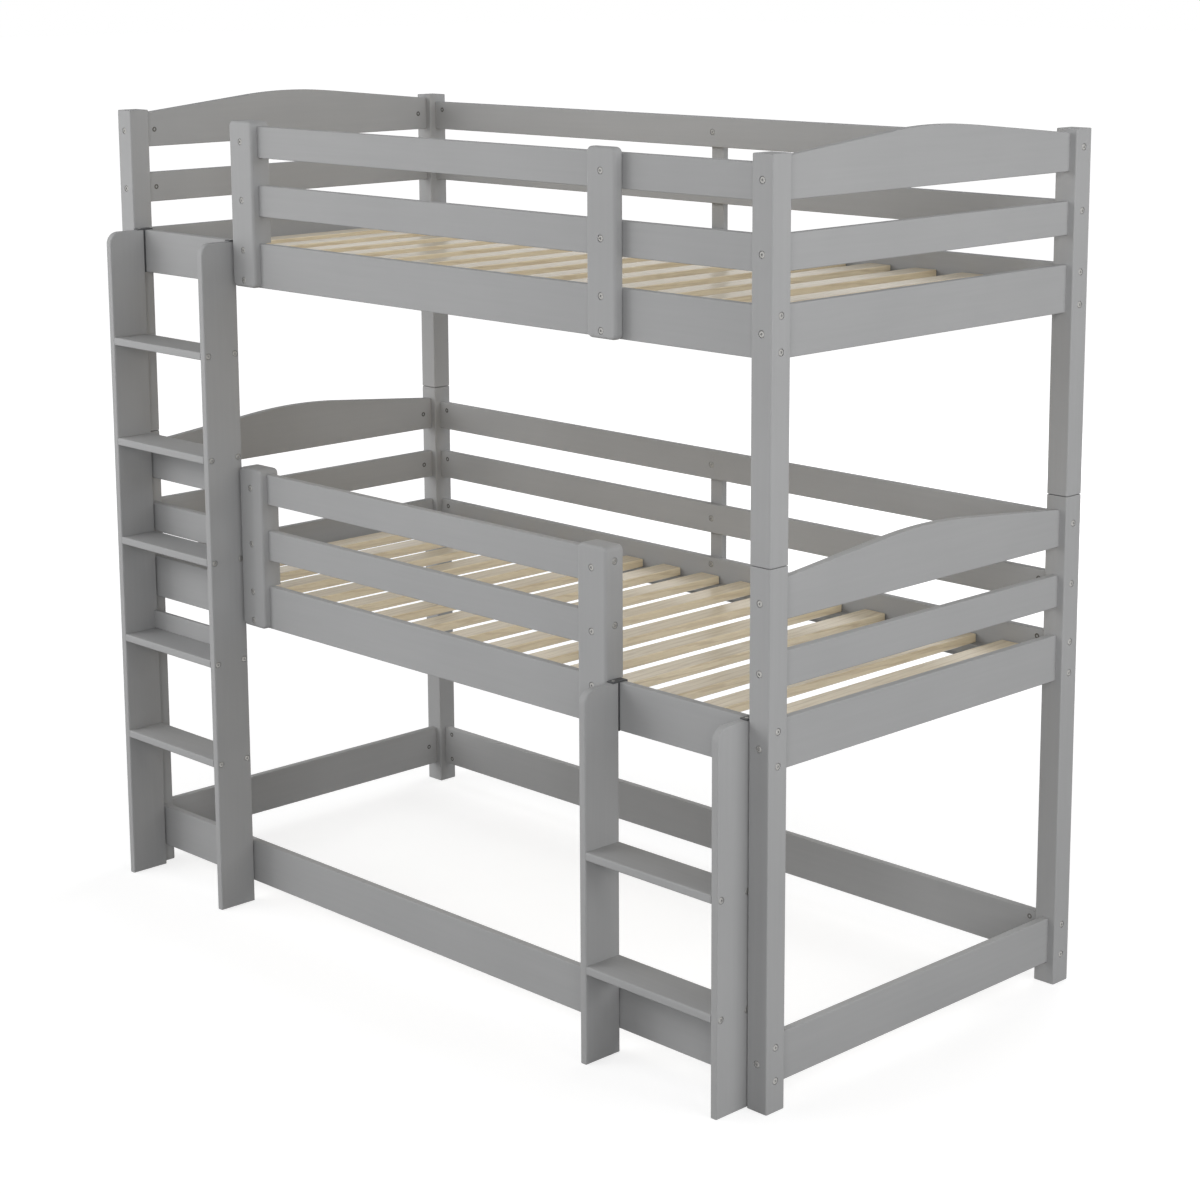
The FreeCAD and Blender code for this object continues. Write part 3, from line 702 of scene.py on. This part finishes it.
def plank_row_tree() -> RowTree:
    """Make the tree that sets out equal planks with round long edges.

    Returns:
        The tree; each plank runs along X before it is turned.
    """
    tree = RowTree("plank_row", {
        "Int": ["Count", "Seed"], "Vector": ["First", "Step"], "Rotation": ["Turn"],
        "Float": ["Length", "Width", "Thickness", "Edge Radius"]})
    given = tree.given
    half = tree.sum("MULTIPLY", given["Length"], 0.5)
    start = tree.add("ShaderNodeCombineXYZ", {"X": tree.sum("MULTIPLY", half, -1.0)})
    end = tree.add("ShaderNodeCombineXYZ", {"X": half})
    run = tree.add("GeometryNodeCurvePrimitiveLine", {"Start": start, "End": end})
    section = tree.add("GeometryNodeCurvePrimitiveQuadrilateral", {
        "Width": given["Width"], "Height": given["Thickness"]})
    rounded = tree.add("GeometryNodeFilletCurve", {
        "Curve": section, "Count": LONG_STEPS, "Radius": given["Edge Radius"]}, mode="POLY")
    plank = tree.add("GeometryNodeCurveToMesh", {"Curve": run, "Profile Curve": rounded, "Fill Caps": True})
    places = tree.add("GeometryNodeMeshLine", {
        "Count": given["Count"], "Start Location": given["First"], "Offset": given["Step"]},
        mode="OFFSET")
    row = tree.add("GeometryNodeInstanceOnPoints", {
        "Points": places, "Instance": plank, "Rotation": given["Turn"]})
    tone = tree.add("FunctionNodeRandomValue", {"Seed": given["Seed"]}, data_type="FLOAT")
    marked = tree.add("GeometryNodeStoreNamedAttribute", {
        "Geometry": row, "Name": "slat_tone", "Value": tone.outputs[1]},
        data_type="FLOAT", domain="INSTANCE")
    tree.close(marked)
    return tree


def head_row_tree() -> RowTree:
    """Make the tree that puts a round head with a hexagon socket on every point.

    Returns:
        The tree; the points carry the heads' direction as an attribute.
    """
    tree = RowTree("head_row", {
        "Int": ["Sides", "Seed"],
        "Float": ["Head Radius", "Seat Depth", "Rim Rise", "Rim Share", "Crown Rise",
                  "Crown Share", "Socket Radius", "Socket Depth"]})
    given = tree.given
    stub = tree.add("GeometryNodeMeshCylinder", {
        "Vertices": given["Sides"], "Radius": given["Head Radius"], "Depth": given["Seat Depth"]})
    sunk = tree.add("ShaderNodeCombineXYZ", {"Z": tree.sum("MULTIPLY", given["Seat Depth"], -0.5)})
    dome = tree.add("GeometryNodeTransform", {"Geometry": stub, "Translation": sunk})
    top = stub.outputs["Top"]
    for part in ("Rim", "Crown"):
        step = tree.add("GeometryNodeExtrudeMesh", {
            "Mesh": dome, "Selection": top, "Offset Scale": given[part + " Rise"]})
        top = step.outputs["Top"]
        dome = tree.add("GeometryNodeScaleElements", {
            "Geometry": step, "Selection": top, "Scale": given[part + " Share"]})
    inner = tree.add("GeometryNodeExtrudeMesh", {"Mesh": dome, "Selection": top, "Offset Scale": 0.0})
    place = tree.add("ShaderNodeSeparateXYZ", {"Vector": tree.add("GeometryNodeInputPosition")})
    angle = tree.sum("ARCTAN2", place.outputs["Y"], place.outputs["X"])
    half_side = math.pi / 6.0
    side = tree.sum("WRAP", angle, half_side, -half_side)
    reach = tree.sum("DIVIDE", given["Socket Radius"], tree.sum("COSINE", side))
    rim = tree.add("ShaderNodeCombineXYZ", {
        "X": tree.sum("MULTIPLY", reach, tree.sum("COSINE", angle)),
        "Y": tree.sum("MULTIPLY", reach, tree.sum("SINE", angle)), "Z": place.outputs["Z"]})
    hexagon = tree.add("GeometryNodeSetPosition", {
        "Geometry": inner, "Selection": inner.outputs["Top"], "Position": rim})
    socket = tree.add("GeometryNodeExtrudeMesh", {
        "Mesh": hexagon, "Selection": inner.outputs["Top"],
        "Offset Scale": tree.sum("MULTIPLY", given["Socket Depth"], -1.0)})
    facing = tree.add("GeometryNodeInputNamedAttribute", {"Name": "facing"}, data_type="FLOAT_VECTOR")
    aimed = tree.add("FunctionNodeAlignRotationToVector", {"Vector": facing}, axis="Z")
    twist = tree.add("FunctionNodeRandomValue", {
        2: 0.0, 3: 2.0 * half_side, "Seed": given["Seed"]}, data_type="FLOAT")
    spin = tree.add("FunctionNodeAxisAngleToRotation", {"Angle": twist.outputs[1]})
    turned = tree.add("FunctionNodeRotateRotation", {0: aimed, 1: spin}, rotation_space="LOCAL")
    heads = tree.add("GeometryNodeInstanceOnPoints", {
        "Points": given["Points"], "Instance": socket, "Rotation": turned})
    tree.close(heads)
    return tree


@dataclass
class PlankRow:
    """A row of equal planks, such as a deck's slats or a ladder's rungs."""

    name: str
    solids: list[Corners]
    grain: Axis
    edge_radius: float
    seed: int

    def build(self, tree: RowTree, material: Material) -> Piece:
        """Set the planks out where the CAD solids lie.

        Args:
            tree: the tree of plank rows.
            material: the planks' material.

        Returns:
            The piece.
        """
        ordered = sorted(self.solids, key=lambda box: tuple(box[0]))
        middles = [(low + high) / 2.0 for low, high in ordered]
        size = ordered[0][1] - ordered[0][0]
        along, across = (size.x, size.y) if self.grain is Axis.X else (size.y, size.x)
        turn = 0.0 if self.grain is Axis.X else math.pi / 2.0
        step = (middles[-1] - middles[0]) / max(len(middles) - 1, 1)
        piece = tree.grow(self.name, bpy.data.meshes.new(self.name), {
            "Count": len(middles), "First": tuple(middles[0]), "Step": tuple(step),
            "Length": along, "Width": across, "Thickness": size.z,
            "Edge Radius": self.edge_radius, "Turn": (0.0, 0.0, turn), "Seed": self.seed,
            "Material": material})
        settle_normals(piece.data)
        return piece


@dataclass
class HeadRow:
    """Round heads with a hexagon socket, all of one size."""

    name: str
    places: list[Spot]
    radius: float
    rise: float
    socket: float
    seed: int
    sides: int = 18
    seat_depth: float = 0.0012
    rim_part: float = 0.6
    rim_share: float = 0.9
    crown_share: float = 0.72
    socket_depth: float = 0.0015
    crease: float = 55.0

    def build(self, tree: RowTree, material: Material) -> Piece:
        """Put a head on every place.

        Args:
            tree: the tree of head rows.
            material: the heads' material.

        Returns:
            The piece.
        """
        points = bpy.data.meshes.new(self.name)
        points.from_pydata([place for place, _ in self.places], [], [])
        facing = points.attributes.new("facing", "FLOAT_VECTOR", "POINT")
        for index, (_, direction) in enumerate(self.places):
            facing.data[index].vector = direction
        piece = tree.grow(self.name, points, {
            "Sides": self.sides, "Head Radius": self.radius, "Seat Depth": self.seat_depth,
            "Rim Rise": self.rise * self.rim_part, "Rim Share": self.rim_share,
            "Crown Rise": self.rise * (1.0 - self.rim_part), "Crown Share": self.crown_share,
            "Socket Radius": self.socket, "Socket Depth": self.socket_depth,
            "Seed": self.seed, "Material": material})
        settle_normals(piece.data, self.crease)
        return piece


# Sub-assemblies

@dataclass
class CornerPosts:
    """Four posts of two lengths each, with a dark seam between them."""

    fasteners: "Fasteners"
    long_ease: float = 0.0035
    end_ease: float = 0.0015
    seam_gap: float = 0.0013
    seam_depth: float = 0.008

    def upper_shape(self, low: Vector, high: Vector) -> Shape:
        """Make an upper post, its foot cut back round a neck, so that the seam shows.

        Args:
            low, high: the post's lowest corner, at the seam, and its highest one.

        Returns:
            The shape.
        """
        raised = Vector((low.x, low.y, low.z + self.seam_gap))
        shape = eased_board(raised, high, Axis.Z, self.long_ease, self.end_ease)
        shape.normal_update()
        foot = min(shape.faces, key=lambda face: face.calc_center_median().z)
        bmesh.ops.inset_region(shape, faces=[foot], thickness=self.seam_depth)
        for vertex in foot.verts:
            vertex.co.z = low.z
        return shape

    def build(self) -> None:
        """Build and dress every post."""
        corners = [line + "_" + side for line in LINES for side in SIDES]
        for node in ["post_lower_" + corner for corner in corners]:
            shape = eased_board(*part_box(node), Axis.Z, self.long_ease, self.end_ease)
            paint_board(node, shape, Axis.Z, fasteners=self.fasteners)
        for node in ["post_upper_" + corner for corner in corners]:
            paint_board(node, self.upper_shape(*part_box(node)), Axis.Z, fasteners=self.fasteners)


@dataclass
class Rails:
    """All straight rails, the boards behind the long guard rails, and the ledgers."""

    fasteners: "Fasteners"
    long_ease: float = 0.0025
    support_drop: float = 0.006

    def rails(self) -> list[tuple[Axis, str]]:
        """List the straight rails.

        Returns:
            The direction of each rail and its CAD node.
        """
        found = []
        for grain, ends, kinds in ((Axis.X, LINES, ("_guard_rail_{}_low", "_guard_rail_{}_high")),
                                   (Axis.Y, SIDES, ("_end_rail_{}",))):
            nodes = ["bottom_rail_" + end for end in ends]
            for tier in TIERS:
                nodes += [tier + "_bed_rail_" + end for end in ends]
                nodes += [tier + kind.format(end) for end in ends for kind in kinds]
            found += [(grain, node) for node in nodes]
        return found

    def build(self) -> None:
        """Build and dress every straight rail, support and ledger."""
        boards = [(grain, node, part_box(node)) for grain, node in self.rails()]
        for tier in TIERS:
            node = tier + "_back_support"
            low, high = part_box(node)
            # The support's top stays out of sight behind the guard rail.
            high.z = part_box(tier + "_guard_rail_back_high")[1].z - self.support_drop
            boards.append((Axis.Z, node, (low, high)))
        for grain, node, (low, high) in boards:
            shape = eased_board(low, high, grain, self.long_ease)
            paint_board(node, shape, grain, fasteners=self.fasteners)
        dress_node("slat_ledgers", PaintedWood(Axis.X).material())


@dataclass
class ArchRails:
    """End rails whose top edge rises straight from both ends to a round crown."""

    end_height: float = 0.080
    crown_width: float = 0.260
    long_ease: float = 0.0025
    crown_steps: int = 20
    halvings: int = 60

    def slope(self, half: float, crown: float, rise: float) -> float:
        """Find the angle at which the straight runs meet the crown's arc.

        Args:
            half: half of the rail's length.
            crown: half of the crown's width.
            rise: how far the crown stands over the ends.

        Returns:
            The angle in radians.
        """
        low, high = 0.0, math.pi / 4.0
        for _ in range(self.halvings):
            middle = (low + high) / 2.0
            reached = crown * math.tan(middle / 2.0) + (half - crown) * math.tan(middle)
            low, high = (middle, high) if reached < rise else (low, middle)
        return low

    def outline(self, low: Vector, high: Vector) -> Outline:
        """Draw the rail's outline in Y and Z.

        Args:
            low, high: the rail's lowest and highest corner.

        Returns:
            The outline.
        """
        middle, half = (low.y + high.y) / 2.0, (high.y - low.y) / 2.0
        crown, shoulder = self.crown_width / 2.0, low.z + self.end_height
        angle = self.slope(half, crown, high.z - low.z - self.end_height)
        radius, turn = crown / math.sin(angle), math.degrees(angle)
        top = arc((middle, high.z - radius), radius, 90.0 - turn, 90.0 + turn, self.crown_steps)
        return [(low.y, low.z), (high.y, low.z), (high.y, shoulder), *top, (low.y, shoulder)]

    def build(self) -> None:
        """Build and dress the four arched rails, their upright ends left sharp."""
        in_face, upright = square_to(Axis.X), square_to(Axis.Y)
        for node in [tier + "_arch_rail_" + side for tier in TIERS for side in SIDES]:
            low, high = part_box(node)
            shape = extruded(self.outline(low, high), Axis.X, low.x, high.x)
            ease(shape, lambda a, b: in_face(a, b) and not upright(a, b), self.long_ease, LONG_STEPS)
            paint_board(node, shape, Axis.Y)


@dataclass
class GuardPosts:
    """Upright boards with well-rounded edges that hold the front guard rails."""

    fasteners: "Fasteners"
    corner_round: float = 0.012
    corner_steps: int = 6
    face_ease: float = 0.007
    face_steps: int = 4
    notch_room: float = 0.01

    def outline(self, low: Vector, high: Vector) -> Outline:
        """Draw a rectangle with round corners in X and Z.

        Args:
            low, high: the post's lowest and highest corner.

        Returns:
            The outline.
        """
        bend = self.corner_round
        points: Outline = []
        for x, z, start in ((high.x - bend, high.z - bend, 0.0), (low.x + bend, high.z - bend, 90.0),
                            (low.x + bend, low.z + bend, 180.0), (high.x - bend, low.z + bend, 270.0)):
            points += arc((x, z), bend, start, start + 90.0, self.corner_steps)
        return points

    def build(self) -> None:
        """Build and dress the four guard posts, notched where they sit over the bed rail."""
        room = self.notch_room
        for tier in TIERS:
            rail_low, rail_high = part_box(tier + "_bed_rail_front")
            for node in [tier + "_guard_post_" + side for side in SIDES]:
                low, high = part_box(node)
                shape = extruded(self.outline(low, high), Axis.Y, low.y, high.y)
                ease(shape, square_to(Axis.Y), self.face_ease, self.face_steps)
                notch = None
                if high.y > rail_low.y + room:
                    notch = block(Vector((low.x - room, rail_low.y, low.z - room)),
                                  Vector((high.x + room, high.y + room, rail_high.z)))
                paint_board(node, shape, Axis.Z, fasteners=self.fasteners, notch=notch)


@dataclass
class SlatDeck:
    """The pine slats of one bunk."""

    tier: str
    seed: int
    planks: RowTree
    pine: Material
    edge_radius: float = 0.003

    def build(self) -> None:
        """Build and dress the slats."""
        node = self.tier + "_slats"
        row = PlankRow("pine_" + node, islands(node), Axis.Y, self.edge_radius, self.seed)
        hand_over(row.build(self.planks, self.pine), FRAME_BODY, Slot.PINE, node)


@dataclass
class Ladder:
    """A ladder that hangs on the bed rail: two stiles, rungs, hooks and their screws."""

    body: str
    seed: int
    fasteners: "Fasteners"
    planks: RowTree
    heads: RowTree
    coat: Material
    steel: Material
    stile_round: float = 0.028
    stile_steps: int = 10
    stile_ease: float = 0.003
    rung_ease: float = 0.0035
    brace_ease: float = 0.002
    screw_radius: float = 0.0035
    screw_rise: float = 0.0008
    screw_socket: float = 0.0012
    screw_inset: float = 0.009

    def stile_outline(self, low: Vector, high: Vector) -> Outline:
        """Draw a stile's outline in Y and Z, its front top corner round."""
        bend = self.stile_round
        return [(low.y, low.z), (high.y, low.z), (high.y, high.z),
                *arc((low.y + bend, high.z - bend), bend, 90.0, 180.0, self.stile_steps)]

    def build(self) -> None:
        """Build and dress the whole ladder."""
        for node in [self.body + "_stile_" + side for side in SIDES]:
            low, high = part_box(node)
            shape = extruded(self.stile_outline(low, high), Axis.X, low.x, high.x)
            ease(shape, square_to(Axis.X), self.stile_ease, LONG_STEPS)
            paint_board(node, shape, Axis.Z, self.body, self.fasteners)
        node = self.body + "_rungs"
        row = PlankRow("painted_" + node, islands(node), Axis.X, self.rung_ease, self.seed)
        rungs = row.build(self.planks, PaintedWood(Axis.X).material())
        hand_over(rungs, self.body, Slot.PAINT, node)
        node = self.body + "_brace"
        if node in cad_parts:
            shape = eased_board(*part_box(node), Axis.X, self.brace_ease)
            paint_board(node, shape, Axis.X, self.body)
        node = self.body + "_hooks"
        dress_node(node, self.coat)
        places = [(Vector(((low.x + high.x) / 2.0, low.y + self.screw_inset, high.z)),
                   Vector((0.0, 0.0, 1.0))) for low, high in islands(node)]
        screws = HeadRow(self.body + "_hook_screws", places, self.screw_radius, self.screw_rise,
                         self.screw_socket, self.seed)
        hand_over(screws.build(self.heads, self.steel), self.body, Slot.BOLT)


@dataclass
class Fasteners:
    """Bolt heads let into the outer faces and barrel nuts in the inner faces of the rails."""

    head_radius: float = 0.0065
    head_rise: float = 0.0009
    head_sink: float = 0.0011
    head_seat: float = 0.004
    socket_radius: float = 0.0025
    socket_depth: float = 0.0036
    bore_radius: float = 0.0076
    bore_depth: float = 0.0021
    bore_sides: int = 24
    bore_room: float = 1e-4
    nut_radius: float = 0.006
    nut_rise: float = 0.0003
    nut_socket: float = 0.0026
    nut_reach: float = 0.079
    bolt_recess: float = 0.001
    corner_reach: float = 0.1
    rail_half: float = 0.009

    def heads(self, node: str) -> list[Spot]:
        """Find where the heads of a group of bolts lie and which way they face.

        Args:
            node: the CAD node of the bolts; those of the guards all face the front.

        Returns:
            A place on the wood's face and a direction for each bolt.
        """
        low_all, high_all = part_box(node)
        centre = (low_all + high_all) / 2.0
        found = []
        for low, high in islands(node):
            size = high - low
            run = max(range(3), key=lambda i: size[i])
            middle = (low + high) / 2.0
            outward = node == "guard_bolts" or middle[run] < centre[run]
            facing = Vector()
            facing[run] = -1.0 if outward else 1.0
            found.append((middle + facing * (size[run] / 2.0 + self.bolt_recess), facing))
        return found

    @cached_property
    def groups(self) -> list[tuple[str, str, list[Spot]]]:
        """List every group of bolts.

        Returns:
            The CAD node, the body that it moves with, and the places of its heads.
        """
        rows = [("corner_bolts", FRAME_BODY), ("guard_bolts", FRAME_BODY)]
        rows += [(body + "_bolts", body) for body in LADDERS]
        return [(node, body, self.heads(node)) for node, body in rows]

    def bore(self, piece: Piece) -> None:
        """Let the heads that lie on a piece's faces into it.

        Args:
            piece: the board to bore.
        """
        low, high = extent([vertex.co for vertex in piece.data.vertices])
        room = self.bore_room
        bores = bmesh.new()
        for place, facing in [spot for _, _, places in self.groups for spot in places]:
            if all(low[i] - room <= place[i] <= high[i] + room for i in range(3)):
                turn = facing.to_track_quat("Z", "Y").to_matrix().to_4x4()
                bmesh.ops.create_cone(
                    bores, cap_ends=True, segments=self.bore_sides, radius1=self.bore_radius,
                    radius2=self.bore_radius, depth=2.0 * self.bore_depth,
                    matrix=Matrix.Translation(place) @ turn)
        if bores.verts:
            carve(piece, bores)
        else:
            bores.free()

    def nuts(self, heads: list[Spot]) -> list[Spot]:
        """Find where the barrel nuts of the corner bolts show.

        Args:
            heads: the corner bolts' heads.

        Returns:
            A place on the rail's inner face and a direction for each nut.
        """
        low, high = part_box("corner_bolts")
        middle = (low + high) / 2.0
        found = []
        for place, facing in heads:
            run = 0 if facing.x else 1
            if run == 0 and min(place.x - low.x, high.x - place.x) > self.corner_reach:
                continue
            inward = Vector()
            inward[1 - run] = 1.0 if place[1 - run] < middle[1 - run] else -1.0
            found.append((place - facing * self.nut_reach + inward * self.rail_half, inward))
        return found

    def build(self, tree: RowTree, steel: Material, dark: Material) -> None:
        """Build and dress every bolt head, barrel nut and dowel.

        Args:
            tree: the tree of head rows.
            steel: the heads' material.
            dark: the nuts' material.
        """
        for seed, (node, body, places) in enumerate(self.groups, BOLT_SEED):
            sunk = [(place - facing * self.head_sink, facing) for place, facing in places]
            row = HeadRow("heads_of_" + node, sunk, self.head_radius, self.head_rise,
                          self.socket_radius, seed, seat_depth=self.head_seat,
                          socket_depth=self.socket_depth)
            hand_over(row.build(tree, steel), body, Slot.BOLT, node)
            if node == "corner_bolts":
                nuts = HeadRow("barrel_nuts", self.nuts(places), self.nut_radius, self.nut_rise,
                               self.nut_socket, seed)
                hand_over(nuts.build(tree, dark), body, Slot.BOLT)
        dress_node("dowels", DowelWood().material())


@dataclass(frozen=True)
class Lamp:
    """A soft square lamp: its place, the point that it faces, its watts and its side."""

    name: str
    place: Point
    target: Point
    power: float
    size: float

    def hang(self) -> None:
        """Hang the lamp so that it leaves no glare on the lacquer."""
        light = bpy.data.lights.new(self.name, "AREA")
        light.energy = self.power
        light.size = self.size
        thing = place_in_scene(self.name, light)
        thing.location = self.place
        aim = Vector(self.target) - Vector(self.place)
        thing.rotation_euler = aim.to_track_quat("-Z", "Y").to_euler()
        thing.visible_glossy = False


LAMPS = (
    Lamp("front", (-1.8, -3.9, 2.8), (-0.2, -0.4, 1.5), power=49.0, size=2.2),
    Lamp("fill", (4.8, -5.2, 2.8), (0.0, 0.0, 1.3), power=151.0, size=3.4),
    Lamp("side", (6.0, 1.8, 2.4), (1.0, 0.1, 1.2), power=87.0, size=3.0),
    Lamp("end", (4.6, -0.6, 3.2), (1.0, 0.0, 1.4), power=54.0, size=2.4),
    Lamp("left", (-5.2, -3.6, 2.3), (-0.5, 0.0, 1.2), power=218.0, size=5.0),
    Lamp("rear", (-1.5, 6.0, 2.6), (0.0, 0.4, 1.0), power=190.0, size=3.0),
    Lamp("top", (0.4, 1.3, 3.9), (0.0, 0.1, 1.5), power=15.0, size=2.0),
)


@dataclass
class Studio:
    """A plain pale floor, soft light and the camera at the photograph's angle."""

    floor_half: float = 60.0
    floor_colour: Colour = (0.42, 0.42, 0.42, 1.0)
    near_lift: float = 0.72
    far_lift: float = 1.0
    near_reach: float = 1.5
    far_reach: float = 7.0
    white: Colour = (1.0, 1.0, 1.0, 1.0)
    ambient: float = 0.12
    focal_pixels: float = 2618.0
    frame_width: float = 1200.0
    sensor: float = 36.0
    yaw: float = 45.766
    pitch: float = 10.496
    roll: float = 0.272
    camera_place: Point = (4.2067, -3.97115, 2.2043)
    shift: float = -0.131
    sight: float = 200.0

    def seen(self, sheet: ShaderSheet) -> Node:
        """Give 1 for rays that show the surroundings and 0 for those that light the object."""
        path = sheet.add("ShaderNodeLightPath").outputs
        return sheet.sum("MAXIMUM", path["Is Camera Ray"], sheet.sum(
            "MAXIMUM", path["Is Glossy Ray"], path["Is Transmission Ray"]))

    def floor(self) -> None:
        """Lay the floor: white where it is lit, with the object's shadow kept."""
        shape = bmesh.new()
        bmesh.ops.create_grid(shape, x_segments=1, y_segments=1, size=self.floor_half)
        floor = place_in_scene("studio_floor", mesh_from(shape, "studio_floor"))
        material = bpy.data.materials.new("studio_floor")
        sheet = ShaderSheet(material)
        matt = sheet.add("ShaderNodeBsdfDiffuse", {"Color": self.floor_colour})
        away = sheet.add("ShaderNodeVectorMath", {0: sheet.own_place()}, operation="LENGTH").outputs["Value"]
        level = sheet.span(away, self.near_lift, self.far_lift, self.near_reach, self.far_reach)
        lift = sheet.add("ShaderNodeEmission", {"Strength": sheet.sum("MULTIPLY", self.seen(sheet), level)})
        both = sheet.add("ShaderNodeAddShader", {0: matt, 1: lift})
        sheet.add("ShaderNodeOutputMaterial", {"Surface": both})
        floor.data.materials.append(material)

    def world(self) -> None:
        """Surround the object with even light that shows as white."""
        world = bpy.data.worlds.new("studio")
        bpy.context.scene.world = world
        sheet = ShaderSheet(world)
        strength = sheet.span(self.seen(sheet), self.ambient, 1.0, 0.0, 1.0)
        sky = sheet.add("ShaderNodeBackground", {"Color": self.white, "Strength": strength})
        sheet.add("ShaderNodeOutputWorld", {"Surface": sky})

    def camera(self) -> None:
        """Set up the camera."""
        data = bpy.data.cameras.new("camera")
        data.sensor_width = self.sensor
        data.lens = self.sensor * self.focal_pixels / self.frame_width
        data.shift_y = self.shift
        data.clip_end = self.sight
        thing = place_in_scene("camera", data)
        thing.location = self.camera_place
        level = Euler((math.radians(90.0 - self.pitch), 0.0, math.radians(self.yaw))).to_matrix()
        tilt = Matrix.Rotation(math.radians(-self.roll), 3, "Z")
        thing.rotation_euler = (level @ tilt).to_euler()
        bpy.context.scene.camera = thing

    def build(self) -> None:
        """Set the whole studio up."""
        bpy.context.scene.view_settings.view_transform = "Standard"
        self.floor()
        self.world()
        for lamp in LAMPS:
            lamp.hang()
        self.camera()


def main() -> None:
    """Build and dress the bed in order and set the studio up."""
    logging.basicConfig(level=logging.INFO, format="%(message)s")
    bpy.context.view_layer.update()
    planks, heads = plank_row_tree(), head_row_tree()
    steel, dark, coat = BOLT_STEEL.material(), NUT_STEEL.material(), HOOK_COAT.material()
    pine = PineWood().material()
    fasteners = Fasteners()
    CornerPosts(fasteners).build()
    Rails(fasteners).build()
    ArchRails().build()
    GuardPosts(fasteners).build()
    for seed, tier in enumerate(TIERS, SLAT_SEED):
        SlatDeck(tier, seed, planks, pine).build()
    for seed, body in enumerate(LADDERS, LADDER_SEED):
        Ladder(body, seed, fasteners, planks, heads, coat, steel).build()
    fasteners.build(heads, steel, dark)
    Studio().build()


if __name__ == "__main__":
    main()
